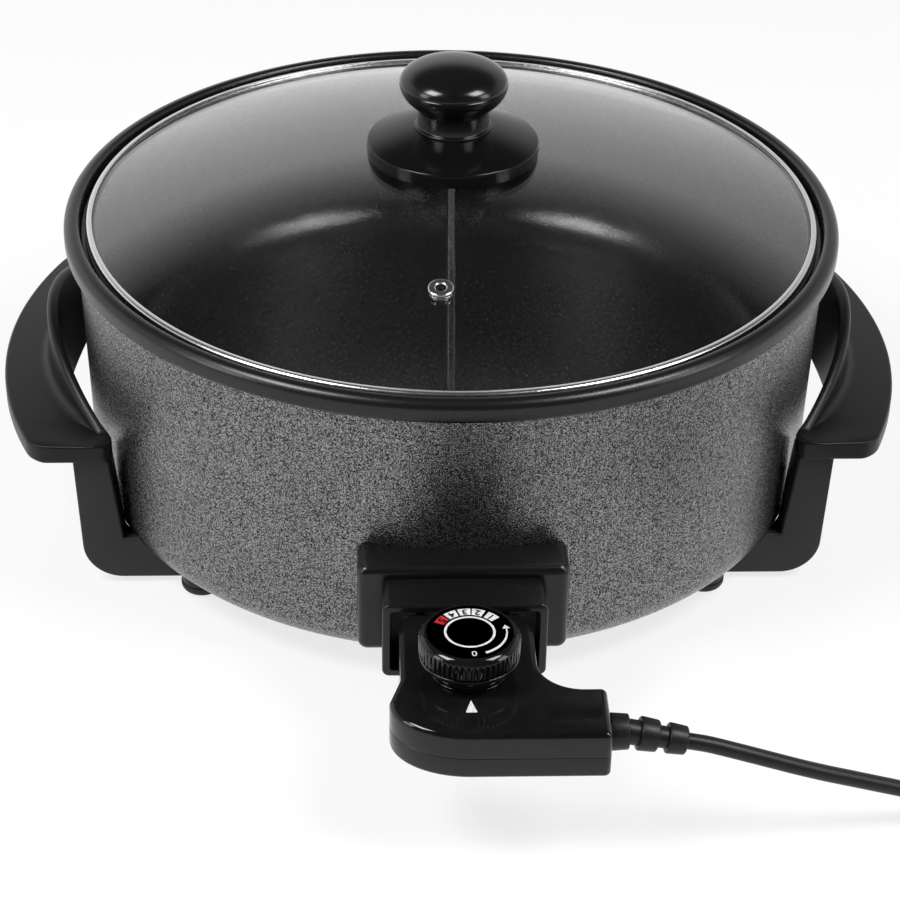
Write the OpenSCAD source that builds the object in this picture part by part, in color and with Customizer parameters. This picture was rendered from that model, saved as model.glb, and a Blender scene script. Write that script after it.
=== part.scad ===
// Round electric skillet: a cast pan with a divider in a painted outer body, a glass lid,
// two side handles on legs, and a plug-in thermostat with a dial and a mains lead.
// Millimetres. Z = 0 is the table, -Y is the front, and the origin is under the middle of
// the object's box, so the pan's axis stands at y = pan_y.

/* [Pan] */
// Outer radius of the rolled rim
rim_r = 200; // [192:1:210]
// Height of the rim band
rim_h = 11; // [9:0.5:13]
// Radial width of the rim band
rim_w = 8; // [7:0.5:10]
// Depth from the rim's top to the cooking floor
pan_depth = 104; // [98:1:110]
// Thickness of the pan's wall
pan_wall = 3; // [2:0.5:4]
// Thickness of the pan's floor
pan_floor = 4; // [3:0.5:6]
// Inside radius between the pan's wall and floor
pan_corner_r = 30; // [22:1:36]
// Width of the ledge that carries the lid
ledge_w = 9; // [7:0.5:11]
// Depth of the ledge below the rim's top
ledge_drop = 8.5; // [7.5:0.5:10]
// Thickness of the ledge
ledge_t = 4; // [3:0.5:6]
// Thickness of the divider
divider_t = 4; // [2:0.5:6]
// Sideways shift of the divider from the pan's middle
divider_x = 0; // [-5:0.5:5]
// Depth of the divider's top below the rim's top
divider_drop = 14; // [12:1:40]
// Turn of the divider about the pan's axis
divider_turn = -2; // [-15:0.5:15]

/* [Outer body] */
// Clear height under the body
stand_h = 12; // [10:0.5:16]
// Height of the body's wall and base
body_h = 146; // [138:1:156]
// How far the rim stands out past the body's top edge
rim_overhang = 6; // [5:0.5:7]
// How much the body's radius shrinks from top to bottom
body_draft = 3.5; // [2:0.5:12]
// Rounding between the body's wall and base
body_edge_r = 23; // [16:1:28]
// Sheet thickness of the body
body_wall = 1.5; // [1:0.25:2]

/* [Heating] */
// Radius of the tubular element's sheath
element_r = 4; // [3.5:0.25:5]
// Distance of the element's ring inside the pan's wall
element_in = 75; // [63:1:88]
// Radius of the terminal pins
pin_r = 2.25; // [2:0.05:2.5]
// Distance of each terminal pin from the middle
pin_x = 20; // [17:0.5:21]
// Radius of the earth pin
earth_r = 1.75; // [1.5:0.05:2]
// Height of the earth pin above the probe
earth_rise = 9; // [8.5:0.25:9.5]
// Wall of the probe's sleeve
sleeve_wall = 0.85; // [0.6:0.05:1.2]

/* [Socket] */
// Width of the socket housing
socket_w = 100; // [92:1:110]
// Height of the socket housing
socket_h = 48; // [43:1:52]
// How far the housing reaches below the probe
socket_drop = 21; // [17:0.5:23]
// How far the housing's front stands out from the body
socket_out = 16.4; // [14:0.1:24]
// Width of the shroud in front
shroud_w = 77; // [74:0.5:84]
// Height of the shroud
shroud_h = 41; // [38:0.5:43]
// How far the shroud reaches below the probe
shroud_drop = 20; // [16:0.5:22]
// How far the shroud stands out from the housing
shroud_depth = 21; // [17:0.5:26]
// Wall of the shroud
shroud_wall = 3.5; // [2.5:0.5:4]

/* [Handles] */
// How far the grip reaches past the rim
grip_out = 36; // [30:1:44]
// Length of the grip, front to back
handle_len = 206; // [200:1:212]
// Height of the grip's top
handle_z = 85; // [78:1:95]
// Thickness of the grip's flange
flange_t = 10; // [8:0.5:13]
// Radius of the grip's outer edge in plan
flange_bow_r = 236; // [215:1:255]
// How far the guard's inner face stands past the rim
guard_out = 6.5; // [5:0.5:10]
// Radius of the guard's inner face in plan
guard_bow_r = 144; // [141:0.5:148]
// Thickness of the guard
guard_t = 6; // [4:0.5:7]
// Height of the guard above the flange at the middle
guard_h = 32; // [25:1:40]
// Depth of the guard below the flange at the middle
apron_h = 25; // [15:1:32]

/* [Legs] */
// Distance of each leg's middle from the pan's axis, front to back
leg_y = 91; // [88:0.5:93]
// Depth of a leg, front to back
leg_depth = 18; // [14:0.5:20]
// How far a leg's outer face lies inside the rim
leg_in = 9; // [6:0.5:11]
// Width of a leg's upright at its top
leg_w = 18; // [15:0.5:20]
// Height of a leg's lower bar
leg_bar_h = 24; // [18:0.5:30]
// Gap between a leg and the table
leg_lift = 3; // [2:0.25:4]
// Radius of a foot
foot_r = 11; // [9:0.5:13]
// Height of a foot
foot_h = 5; // [4:0.25:6]
// Distance of a foot from the pan's axis, sideways
foot_x = 130; // [126:1:134]
// Distance of a foot from the pan's axis, front to back
foot_y = 104; // [100:1:106]

/* [Lid] */
// Thickness of the glass
glass_t = 4; // [3:0.25:5]
// Rise of the glass from its edge to its top
glass_rise = 34.5; // [28:0.5:40]
// Radial gap between the lid's ring and the rim
lid_gap = 3; // [1:0.5:4]
// Radial width of the lid's ring
ring_w = 3.4; // [3:0.1:4.5]
// Distance of the vent from the lid's middle
vent_dist = 123.5; // [90:0.5:150]
// Direction of the vent, with the front at -90 degrees
vent_turn = -94.5; // [-180:0.5:180]
// Radius of the vent's flange
vent_r = 6.2; // [5.5:0.1:8]
// Radius of the plate under the knob
plate_r = 44; // [38:0.5:50]
// Height of the plate above the top of the glass
plate_h = 5; // [4:0.25:7]
// Rise of the plate from its edge to the knob
plate_crown = 7.3; // [3:0.1:10]
// Radius of the knob's head
knob_r = 27.6; // [24:0.1:32]
// Height of the knob's head above its widest part
head_top_h = 11.8; // [9:0.1:16]
// Half height that the rounding below the widest part would have
head_low_h = 17; // [15:0.1:24]
// Height of the knob's neck
neck_rise = 11.2; // [8:0.1:14]
// Radius of the knob's neck
knob_neck_r = 18.3; // [14:0.1:20]
// Radius of the knob's screw
knob_screw_r = 3; // [2:0.25:3.5]

/* [Thermostat] */
// Width of the neck that enters the socket
neck_w = 62; // [58:0.5:64]
// Rounding of the neck's two back corners
neck_r = 8; // [4:0.5:12]
// Height of the thermostat's casing
casing_h = 24; // [23:0.5:26]
// How far the casing reaches below the probe
casing_drop = 9; // [8.5:0.25:10]
// Height of the lower casing
seam_h = 11; // [9:0.5:12]
// Wall of the casing
casing_wall = 2; // [1.5:0.25:2.5]
// Length of the casing in front of the socket's shroud
casing_len = 87; // [84:0.5:92]
// Reach of the arm to the right of the probe
arm_x = 61; // [58:0.5:66]
// Depth of the arm, front to back
arm_depth = 34; // [30:0.5:36]
// Half width of the casing's rounded left front corner
corner_r = 36; // [32:0.5:40]
// Depth of the casing's rounded left front corner
corner_depth = 25.5; // [22:0.5:30]
// Radius of the hollow between the neck and the arm
hollow_r = 20; // [14:0.5:22]
// Radius of the probe
probe_r = 3.1; // [2.8:0.05:3.3]
// How far the probe reaches past the neck
probe_len = 104; // [96:1:105]

/* [Dial] */
// Distance of the dial's axis in front of the socket's shroud
dial_gap = 40; // [36:0.5:44]
// Radius of the dial
dial_r = 22.9; // [21:0.1:25]
// Height of the dial
dial_h = 10.5; // [9:0.5:16]
// Number of flutes round the dial
flute_count = 54; // [24:1:60]
// Radius of the collar under the dial
collar_r = 16.2; // [15:0.1:21]
// Height of the collar
collar_h = 10; // [8:0.25:12]
// Height of the flange at the collar's top
collar_flange_h = 2.2; // [1.5:0.1:4]
// Radius of the dial's shaft
shaft_r = 4; // [3:0.1:4.5]

/* [Lead] */
// Diameter of the mains lead
cord_d = 7.5; // [6:0.25:7.5]
// Length of the strain relief
relief_len = 35; // [30:0.5:40]
// Radius of the strain relief at the casing
relief_r = 8.5; // [7.5:0.25:9.5]
// How far the strain relief sags after its first rib, in degrees
relief_tilt = 12; // [0:1:18]
// Radius of the coil's outermost turn
coil_r = 49; // [46:0.5:60]
// Distance between neighbouring turns and layers
coil_pitch = 8.1; // [8:0.05:9]
// Length of the plug's body
plug_len = 45; // [38:1:55]
// Width of the plug's body
plug_w = 36; // [34:1:40]
// Distance between the plug's pins
plug_pin_gap = 19; // [18.6:0.1:19.4]

/* [Hidden] */
$fn = 96;

// Gap of a turning or sliding fit, of a screw in its hole, and between moulded pieces
fit_gap = 0.05;
hole_gap = 0.2;
seat_gap = 0.3;

// Heights and radii of the pan and its body
body_top_z = stand_h + body_h;
rim_top_z = body_top_z + rim_h;
floor_z = rim_top_z - pan_depth;
under_z = floor_z - pan_floor;
ledge_z = rim_top_z - ledge_drop;
rim_in_r = rim_r - rim_w;
pan_in_r = rim_in_r - ledge_w;
pan_out_r = pan_in_r + pan_wall;
body_top_r = rim_r - rim_overhang;
ledge_out_r = body_top_r - body_wall - 0.7;
corner_in_r = pan_in_r - pan_corner_r;
element_ring_r = pan_in_r - element_in;
base_in_z = stand_h + body_wall;
divider_top_z = rim_top_z - divider_drop;

// The probe, the element and the pins share one height, just under the pan's floor
element_gap = 0.1;
probe_z = under_z - element_r - element_gap;
earth_z = probe_z + earth_rise;
sleeve_r = probe_r + fit_gap + sleeve_wall;
lip_w = 3;
groove_half = element_r + element_gap;
ridge_out_r = element_ring_r + groove_half + lip_w;
element_end_in = 10.5;
element_end_y = -(wall_r(probe_z) - element_end_in);
post_ring_r = 60;
post_r = 6;
post_count = 3;
screw_r = 2;
socket_screw_len = 26;
handle_screw_len = 16;
base_screw_len = 16;
casing_screw_bite = 5;
casing_screw_head = 1.6;

// Front to back places along the socket and the thermostat
socket_y = -(wall_r(probe_z) + socket_out);
carrier_t = 8;
shroud_y = socket_y - shroud_depth;
neck_gap = 17.5;
pin_bite = 12;
neck_y = socket_y - neck_gap;
front_y = shroud_y - casing_len;
dial_y = shroud_y - dial_gap;
arm_back_y = front_y + arm_depth;
pan_y = -(front_y + rim_r) / 2;
pin_tip_y = neck_y - pin_bite;
sleeve_end_y = -(ridge_out_r + 3);
screw_x = pin_x + 9.5;

// Heights of the thermostat
casing_z = probe_z - casing_drop;
casing_top_z = casing_z + casing_h;
seam_z = casing_z + seam_h;
casing_in_z = casing_z + casing_wall;
casing_in_top_z = casing_top_z - casing_wall;
relief_y = front_y + arm_depth / 2;
relief_z = casing_z + casing_h / 2;
relief_neck_r = relief_r - 2.5;
contact_r = pin_r + fit_gap + 1.1;
earth_contact_r = earth_r + fit_gap + 1.1;
switch_in = 20;
switch_y = neck_y - switch_in;
switch_len = 18;
switch_top_z = probe_z + contact_r + 2.5;
blade_t = 0.8;
dial_z = casing_top_z + collar_h + 0.5;
dial_top_z = dial_z + dial_h;
shaft_low_z = switch_top_z + blade_t + seat_gap;
bush_r = shaft_r + 3;
boss_r = 4;
casing_screw_r = 1.5;
boss_back = 17;
boss_in = 15;
neck_shoulder = 16;
casing_bosses = [
    [-neck_w / 2 + boss_r + casing_wall + 3, dial_y - boss_back],
    [dial_r / 2, front_y + casing_wall + boss_r + 1],
    [arm_x - boss_in, front_y + casing_wall + boss_r + 1]
];

// Handles and legs on the right
end_r = 15;
tip_r = 8;
half_len = handle_len / 2;
bow_x = rim_r + grip_out - flange_bow_r;
guard_cx = rim_r + guard_out - guard_bow_r;
leg_x = rim_r - leg_in;
end_turn = asin((half_len - end_r) / (flange_bow_r - end_r));
tip_x = guard_cx + sqrt(pow(guard_bow_r + tip_r, 2) - pow(half_len - tip_r, 2));
tip_turn = atan2(half_len - tip_r, tip_x - guard_cx);
base_flat_r = wall_r(stand_h + body_edge_r) - body_edge_r;
nut_r = 4;
nut_in = 14.4;
leg_screw_x = sqrt(pow(base_flat_r - nut_r - nut_in, 2) - leg_y * leg_y);
leg_tab_x = leg_screw_x - 7;
leg_top_z = handle_z - flange_t;
leg_corner_r = 20;
upright_x = leg_x - leg_w / 2 + 3;
counterbore_r = 4.2;
handle_screw_drop = 10;
handle_screw_z = leg_top_z - handle_screw_drop;

// The lid
ring_r = rim_in_r - lid_gap;
glass_r = ring_r - 2;
glass_edge_z = ledge_z + 1.2 + 1.07 * glass_t;
glass_top_z = glass_edge_z + glass_rise;
dome_r = (glass_r * glass_r + glass_rise * glass_rise) / (2 * glass_rise);
dome_z = glass_top_z - dome_r;
plate_top_z = glass_top_z + plate_h;
washer_z = glass_top_z - glass_t - 2.1;
knob_z = plate_top_z + plate_crown;
knob_foot_r = knob_neck_r + 1.5;
head_z = knob_z + neck_rise + head_low_h * sqrt(1 - pow(knob_neck_r / knob_r, 2));

// The lead: its free stretch, chosen by hand, and the coil that it runs into
cord_plan = [
    [95.4, -241, 54.4], [105.2, -241, 52.3], [115, -241.3, 49.5], [126, -241.3, 45.9], [137, -241, 42],
    [148, -240.5, 38], [160, -239.5, 33.6], [172, -238, 29.2], [184, -236.5, 24.8], [196, -235, 20.4],
    [207, -233.5, 16.4], [218, -232, 12.6], [229, -230.5, 9.3], [240, -229.2, 6.8], [250, -228.4, 5.4],
    [260, -228, 5]
];
relief_rib = relief_len * 0.25;
relief_way = [cos(relief_tilt), 0, -sin(relief_tilt)];
relief_end = [arm_x + relief_rib, relief_y + pan_y, relief_z] + (relief_len - relief_rib) * relief_way;
cord_shift = relief_end - cord_plan[0];
cord_route = [for (i = [0:len(cord_plan) - 1]) i == 1 ? relief_end + 10 * relief_way :
    cord_plan[i] + cord_shift * max(0, 1 - i / 10)];
coil_lead = 8;
coil_end = cord_route[len(cord_route) - 1];
coil_x = coil_end[0] + coil_lead;
coil_y = coil_end[1] + coil_r;
coil_low_z = coil_end[2];
coil_high_z = coil_low_z + coil_pitch;
coil_turns = 4.25;
turn_back = 2.25;
rings_per_turn = 24;
coil_out_x = coil_x + coil_radius(coil_turns);
coil_out_len = coil_r - 3;
plug_y = coil_y + coil_out_len;
plug_z = coil_high_z;
plug_pin_len = 19;

// Radius of the body's wall at height z, with a gap g round it
function wall_r(z, g = 0) = body_top_r + g - body_draft * (body_top_z - z) / body_h;

// Points of an arc about [cx, cy]
function arc(cx, cy, r, a0, a1, n = 12) =
    [for (i = [0:n]) let (a = a0 + (a1 - a0) * i / n) [cx + r * cos(a), cy + r * sin(a)]];

// The body's outline from its axis up to its top edge, grown by g, with its base at height z
function body_outline(g, z, edge_r) =
    let (edge_x = wall_r(z + edge_r, g) - edge_r)
    concat([[0, z]], arc(edge_x, z + edge_r, edge_r, -90, 0), [[wall_r(body_top_z, g), body_top_z]]);

// Height of the glass's outer face at radius r, moved inwards by t
function dome_at(r, t = 0) = dome_z + sqrt(pow(dome_r - t, 2) - r * r);

// Radius and height of the coil after t turns
function coil_radius(t) = coil_r - coil_pitch * (t < turn_back ? t : 2 * turn_back - t);
function ease(u) = let (v = min(max(u, 0), 1)) v * v * (3 - 2 * v);
function coil_height(t) = coil_low_z + coil_pitch * ease((t - turn_back + 0.25) * 2);
function coil_point(t) =
    let (a = 360 * t - 90, r = coil_radius(t))
    [coil_x + r * cos(a), coil_y + r * sin(a), coil_height(t)];

coil_path = concat(
    [coil_end],
    [for (i = [0:coil_turns * rings_per_turn]) coil_point(i / rings_per_turn)],
    [for (s = [1:3]) [coil_out_x, coil_y + coil_out_len * s / 3, coil_high_z]]
);
coil_gap = min([for (i = [0:len(coil_path) - 1], j = [i + rings_per_turn / 2:1:len(coil_path) - 1])
    norm(coil_path[i] - coil_path[j])]) - cord_d;
echo(coil_gap = coil_gap);

// One closed tube along a path
function along(p, i) =
    let (a = p[max(i - 1, 0)], b = p[min(i + 1, len(p) - 1)]) (b - a) / norm(b - a);
module tube(path, r, sides) {
    count = len(path);
    points = [for (i = [0:count - 1])
        let (d = along(path, i), s = cross(d, [0, 0, 1]), side = s / norm(s), up = cross(side, d))
        for (k = [0:sides - 1])
            path[i] + r * (cos(360 * k / sides) * side + sin(360 * k / sides) * up)];
    walls = [for (i = [0:count - 2], k = [0:sides - 1])
        let (n = (k + 1) % sides, a = i * sides, b = a + sides)
        each [[a + k, b + k, b + n], [a + k, b + n, a + n]]];
    first = [for (k = [1:sides - 2]) [0, k, k + 1]];
    last_ring = (count - 1) * sides;
    last = [for (k = [1:sides - 2]) [last_ring, last_ring + k + 1, last_ring + k]];
    polyhedron(points, concat(walls, first, last), convexity = 8);
}

// Shared places and shapes
module at_pan() { translate([0, pan_y, 0]) children(); }
module bar_y(x, z, y0, y1, r) { translate([x, y0, z]) rotate([90, 0, 0]) cylinder(r = r, h = y0 - y1); }
module round_rect(w, h, r) {
    square([w - 2 * r, h], center = true);
    square([w, h - 2 * r], center = true);
    for (x = [-1, 1], y = [-1, 1]) translate([x * (w / 2 - r), y * (h / 2 - r)]) circle(r = r);
}
module box_y(w, z0, z1, y0, y1, r) {
    translate([0, y0, (z0 + z1) / 2]) rotate([90, 0, 0]) linear_extrude(y0 - y1) round_rect(w, z1 - z0, r);
}
module screw(x, y, z, head_r, head_h, r, length) {
    translate([x, y, z - head_h]) cylinder(r = head_r, h = head_h);
    translate([x, y, z - 0.01]) cylinder(r = r, h = length);
}
module at_posts() {
    for (k = [0:post_count - 1]) rotate(90 + 360 * k / post_count) translate([post_ring_r, 0, 0]) children();
}
module body_solid(g) { rotate_extrude($fn = 180) polygon(concat(body_outline(g, stand_h, body_edge_r), [[0, body_top_z]])); }

// Pan body
module outer_body() {
    inner_edge_r = body_edge_r - body_wall;
    color("dimgray") at_pan() difference() {
        body_solid(0);
        rotate_extrude($fn = 180)
            polygon(concat(body_outline(-body_wall, base_in_z, inner_edge_r), [[body_top_r - body_wall, body_top_z + 1], [0, body_top_z + 1]]));
        for (x = [-pin_x, pin_x]) bar_y(x, probe_z, -body_top_r / 2, -body_top_r - 5, pin_r + 1);
        bar_y(0, probe_z, -body_top_r / 2, -body_top_r - 5, sleeve_r + hole_gap);
        bar_y(0, earth_z, -body_top_r / 2, -body_top_r - 5, earth_r + hole_gap);
        for (x = [-screw_x, screw_x]) bar_y(x, earth_z, -body_top_r / 2, -body_top_r - 5, screw_r + hole_gap);
        at_legs() translate([leg_screw_x, 0, stand_h - 1]) cylinder(r = screw_r + hole_gap, h = body_wall + 2);
        at_posts() translate([0, 0, stand_h - 1]) cylinder(r = screw_r + hole_gap, h = body_wall + 2);
    }
}

module pan() {
    rim_curve = rim_h * 0.45;
    inner_curve = 2.5;
    foot_curve = 2;
    section = concat(
        [[0, floor_z]], arc(corner_in_r, floor_z + pan_corner_r, pan_corner_r, -90, 0),
        [[pan_in_r, ledge_z], [rim_in_r, ledge_z]],
        arc(rim_in_r + inner_curve, rim_top_z - inner_curve, inner_curve, 180, 90, 6),
        arc(rim_r - rim_curve, rim_top_z - rim_curve, rim_curve, 90, 0, 8),
        arc(rim_r - foot_curve, body_top_z + foot_curve, foot_curve, 0, -90, 5),
        [[ledge_out_r, body_top_z], [ledge_out_r, ledge_z - ledge_t], [pan_out_r, ledge_z - ledge_t]],
        [for (p = arc(0, 0, 1, 0, -90)) [
            corner_in_r + (pan_corner_r + pan_wall) * p[0],
            floor_z + pan_corner_r + (pan_corner_r + pan_floor) * p[1]]],
        [[0, under_z]]
    );
    color([0.12, 0.12, 0.13]) at_pan() difference() {
        union() {
            rotate_extrude($fn = 180) polygon(section);
            intersection() {
                rotate(divider_turn) translate([divider_x - divider_t / 2, -rim_r, floor_z - pan_floor / 2])
                    cube([divider_t, 2 * rim_r, divider_top_z - floor_z + pan_floor / 2]);
                rotate_extrude($fn = 180) polygon(concat(
                    [[0, under_z + pan_floor / 2]],
                    arc(corner_in_r, floor_z + pan_corner_r, pan_corner_r + pan_wall / 2, -90, 0),
                    [[pan_in_r + pan_wall / 2, rim_top_z], [0, rim_top_z]]));
            }
            for (r = [element_ring_r - groove_half - lip_w, element_ring_r + groove_half])
                rotate_extrude($fn = 180) translate([r, probe_z]) square([lip_w, element_r + pan_floor / 2]);
            at_posts() translate([0, 0, base_in_z]) cylinder(r = post_r, h = under_z - base_in_z + pan_floor / 2);
        }
        for (x = [-pin_x, pin_x]) translate([x - groove_half - 1, -ridge_out_r - 5, probe_z - 1])
            cube([2 * groove_half + 2, ridge_out_r + 5 - (element_ring_r - groove_half) * 0.94, under_z - probe_z + 1]);
        at_posts() translate([0, 0, base_in_z - 1]) cylinder(r = screw_r, h = base_screw_len + 2);
    }
}

module heating_element() {
    open_turn = asin(pin_x / element_ring_r);
    ring_tube_r = element_r - 0.15;
    color("darkgray") at_pan() {
        translate([0, 0, probe_z]) rotate(open_turn - 90) rotate_extrude(angle = 360 - 2 * open_turn, $fn = 180)
            translate([element_ring_r, 0]) circle(r = ring_tube_r, $fn = 32);
        for (x = [-pin_x, pin_x]) bar_y(x, probe_z, element_r - element_ring_r * cos(open_turn), element_end_y, element_r);
    }
}

module terminal_pins() {
    color("silver") at_pan()
        for (x = [-pin_x, pin_x]) bar_y(x, probe_z, element_end_y, pin_tip_y, pin_r);
}

module earth_pin() {
    wall_y = -(wall_r(earth_z) - body_wall);
    color("silver") at_pan() {
        bar_y(0, earth_z, wall_y + 2.5, pin_tip_y, earth_r);
        bar_y(0, earth_z, wall_y + 2.5, wall_y + 0.5, earth_r + 2);
    }
}

module probe_sleeve() {
    color("silver") at_pan() difference() {
        bar_y(0, probe_z, sleeve_end_y, socket_y, sleeve_r);
        bar_y(0, probe_z, sleeve_end_y - 1.5, socket_y - 1, probe_r + fit_gap);
    }
}

// Socket
module socket_housing() {
    slot_w = shroud_w - 2 * shroud_wall;
    low_z = probe_z - shroud_drop;
    color([0.08, 0.08, 0.08]) at_pan() difference() {
        union() {
            box_y(socket_w, probe_z - socket_drop, probe_z - socket_drop + socket_h, -body_top_r * 0.85, socket_y, 6);
            box_y(shroud_w, low_z, low_z + shroud_h, socket_y + 4, shroud_y, 4);
        }
        body_solid(seat_gap);
        box_y(slot_w, low_z + shroud_wall, low_z + shroud_h - shroud_wall, socket_y + carrier_t, shroud_y - 1, 2);
        for (x = [-pin_x, pin_x]) bar_y(x, probe_z, -body_top_r / 2, socket_y, pin_r + 1);
        bar_y(0, probe_z, -body_top_r / 2, socket_y, sleeve_r + hole_gap);
        bar_y(0, earth_z, -body_top_r / 2, socket_y, earth_r + hole_gap);
        for (x = [-screw_x, screw_x]) bar_y(x, earth_z, -body_top_r / 2, socket_y, screw_r + hole_gap);
    }
}

module pin_carrier() {
    low_z = probe_z - shroud_drop;
    color("beige") at_pan() difference() {
        box_y(shroud_w - 2 * shroud_wall - 2 * hole_gap, low_z + shroud_wall + hole_gap,
            low_z + shroud_h - shroud_wall - hole_gap, socket_y + carrier_t, socket_y, 2 - hole_gap);
        for (x = [-pin_x, pin_x]) bar_y(x, probe_z, socket_y + carrier_t + 1, socket_y - 1, pin_r + fit_gap);
        bar_y(0, probe_z, socket_y + carrier_t + 1, socket_y - 1, sleeve_r + fit_gap);
        bar_y(0, earth_z, socket_y + carrier_t + 1, socket_y - 1, earth_r + fit_gap);
        for (x = [-screw_x, screw_x]) bar_y(x, earth_z, socket_y + carrier_t + 1, socket_y - 1, screw_r + hole_gap);
    }
}

module socket_screws() {
    color("silver") at_pan() for (x = [-screw_x, screw_x]) {
        bar_y(x, earth_z, socket_y, socket_y - 2.4, screw_r + 1.5);
        bar_y(x, earth_z, socket_y + socket_screw_len, socket_y - 0.1, screw_r);
    }
}

// Handles and legs, made on the right and mirrored to the left
module at_legs() { for (x = [0, 1], y = [-1, 1]) mirror([x, 0, 0]) translate([0, y * leg_y, 0]) children(); }

module grip() {
    half = concat(
        arc(bow_x, 0, flange_bow_r, 0, end_turn),
        arc(bow_x + (flange_bow_r - end_r) * cos(end_turn), half_len - end_r, end_r, end_turn, 90, 8),
        arc(tip_x, half_len - tip_r, tip_r, 90, 180 + tip_turn, 8),
        arc(guard_cx, 0, guard_bow_r, tip_turn, 0)
    );
    crest = half_len - tip_r - 4;
    apron_half = leg_y - leg_depth / 2 - 4;
    guard_all = apron_h + flange_t + guard_h + 2;
    difference() {
        union() {
            translate([0, 0, leg_top_z]) linear_extrude(flange_t) polygon(concat(
                half, [for (i = [len(half) - 2:-1:1]) [half[i][0], -half[i][1]]]));
            intersection() {
                translate([guard_cx, 0, leg_top_z - apron_h - 1]) difference() {
                    cylinder(r = guard_bow_r + guard_t, h = guard_all);
                    translate([0, 0, -1]) cylinder(r = guard_bow_r + 0.4, h = guard_all + 2);
                }
                translate([guard_cx, 0, handle_z]) rotate([90, 0, 90]) linear_extrude(2 * guard_bow_r) polygon(concat(
                    [for (i = [-10:10]) [crest * i / 10, guard_h * (1 - i * i / 100)]],
                    [for (i = [10:-1:-10]) [apron_half * i / 10, -flange_t - apron_h * (1 - i * i / 100)]]));
            }
        }
        for (y = [-leg_y, leg_y]) translate([upright_x, y, leg_top_z - 1]) cylinder(r = screw_r, h = flange_t - 1);
    }
}
module left_handle() { color([0.1, 0.1, 0.1]) at_pan() mirror([1, 0, 0]) grip(); }
module right_handle() { color([0.1, 0.1, 0.1]) at_pan() grip(); }

module leg() {
    low_z = leg_lift;
    bar_top_z = low_z + leg_bar_h;
    shape = concat(
        [[leg_tab_x, low_z]],
        arc(leg_x - leg_corner_r, low_z + leg_corner_r, leg_corner_r, -90, 0),
        [[leg_x + 2, leg_top_z], [leg_x + 2 - leg_w, leg_top_z], [leg_x - leg_w - 3, bar_top_z], [leg_tab_x, bar_top_z]]
    );
    difference() {
        union() {
            translate([0, -leg_y + leg_depth / 2, 0]) rotate([90, 0, 0]) linear_extrude(leg_depth) polygon(shape);
            translate([foot_x, -foot_y, foot_h]) cylinder(r = foot_r - 0.5, h = stand_h);
        }
        body_solid(seat_gap);
        translate([foot_x, -foot_y, -1]) cylinder(r = foot_r, h = 1 + foot_h);
        translate([foot_x, -foot_y, foot_h - 1]) cylinder(r = 3 + fit_gap, h = 5.2);
        translate([leg_screw_x, -leg_y, 0]) {
            cylinder(r = screw_r + hole_gap, h = stand_h + 1);
            cylinder(r = counterbore_r, h = leg_lift + 3);
        }
        translate([upright_x, -leg_y, 0]) {
            cylinder(r = screw_r + hole_gap, h = leg_top_z + 1);
            cylinder(r = counterbore_r, h = handle_screw_z);
        }
    }
}
module left_front_leg() { color([0.1, 0.1, 0.1]) at_pan() mirror([1, 0, 0]) leg(); }
module left_rear_leg() { color([0.1, 0.1, 0.1]) at_pan() mirror([1, 0, 0]) mirror([0, 1, 0]) leg(); }
module right_front_leg() { color([0.1, 0.1, 0.1]) at_pan() leg(); }
module right_rear_leg() { color([0.1, 0.1, 0.1]) at_pan() mirror([0, 1, 0]) leg(); }

module feet() {
    edge_r = foot_h * 0.7;
    color([0.05, 0.05, 0.05]) at_pan() for (x = [-foot_x, foot_x], y = [-foot_y, foot_y]) translate([x, y, 0]) {
        rotate_extrude() polygon(concat([[0, 0]], arc(foot_r - edge_r, edge_r, edge_r, -90, 0, 8), [[foot_r, foot_h], [0, foot_h]]));
        cylinder(r = 3, h = foot_h + 4);
    }
}

module leg_screws() {
    color("silver") at_pan() at_legs() screw(leg_screw_x, 0, leg_lift + 3, counterbore_r - hole_gap, 2.4, screw_r, base_in_z + 4 - leg_lift - 3);
}
module leg_nuts() {
    color("silver") at_pan() at_legs() translate([leg_screw_x, 0, base_in_z]) difference() {
        cylinder(r = nut_r, h = 3, $fn = 6);
        translate([0, 0, -1]) cylinder(r = screw_r + fit_gap, h = 5);
    }
}
module handle_screws() {
    color("silver") at_pan() at_legs() screw(upright_x, 0, handle_screw_z, counterbore_r - hole_gap, 2.4, screw_r - fit_gap, handle_screw_len);
}
module base_screws() {
    color("silver") at_pan() at_posts() screw(0, 0, stand_h, 4, 2.4, screw_r - fit_gap, base_screw_len);
}

// Lid
module at_vent() {
    tilt = asin(vent_dist / dome_r);
    translate([0, 0, dome_z]) rotate([0, tilt, vent_turn]) translate([0, 0, dome_r]) children();
}
module lid_glass() {
    steps = 24;
    section = concat(
        [for (i = [0:steps]) let (r = glass_r * i / steps) [r, dome_at(r)]],
        [for (i = [steps:-1:0]) let (r = glass_r * i / steps) [r, dome_at(r, glass_t)]]
    );
    color([0.75, 0.8, 0.82, 0.4]) at_pan() difference() {
        rotate_extrude($fn = 180) polygon(section);
        translate([0, 0, plate_top_z - 2 * glass_t - plate_h]) cylinder(r = knob_screw_r + hole_gap, h = 3 * glass_t);
        at_vent() translate([0, 0, -2 * glass_t]) cylinder(r = vent_r - 2.15, h = 3 * glass_t);
    }
}

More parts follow.
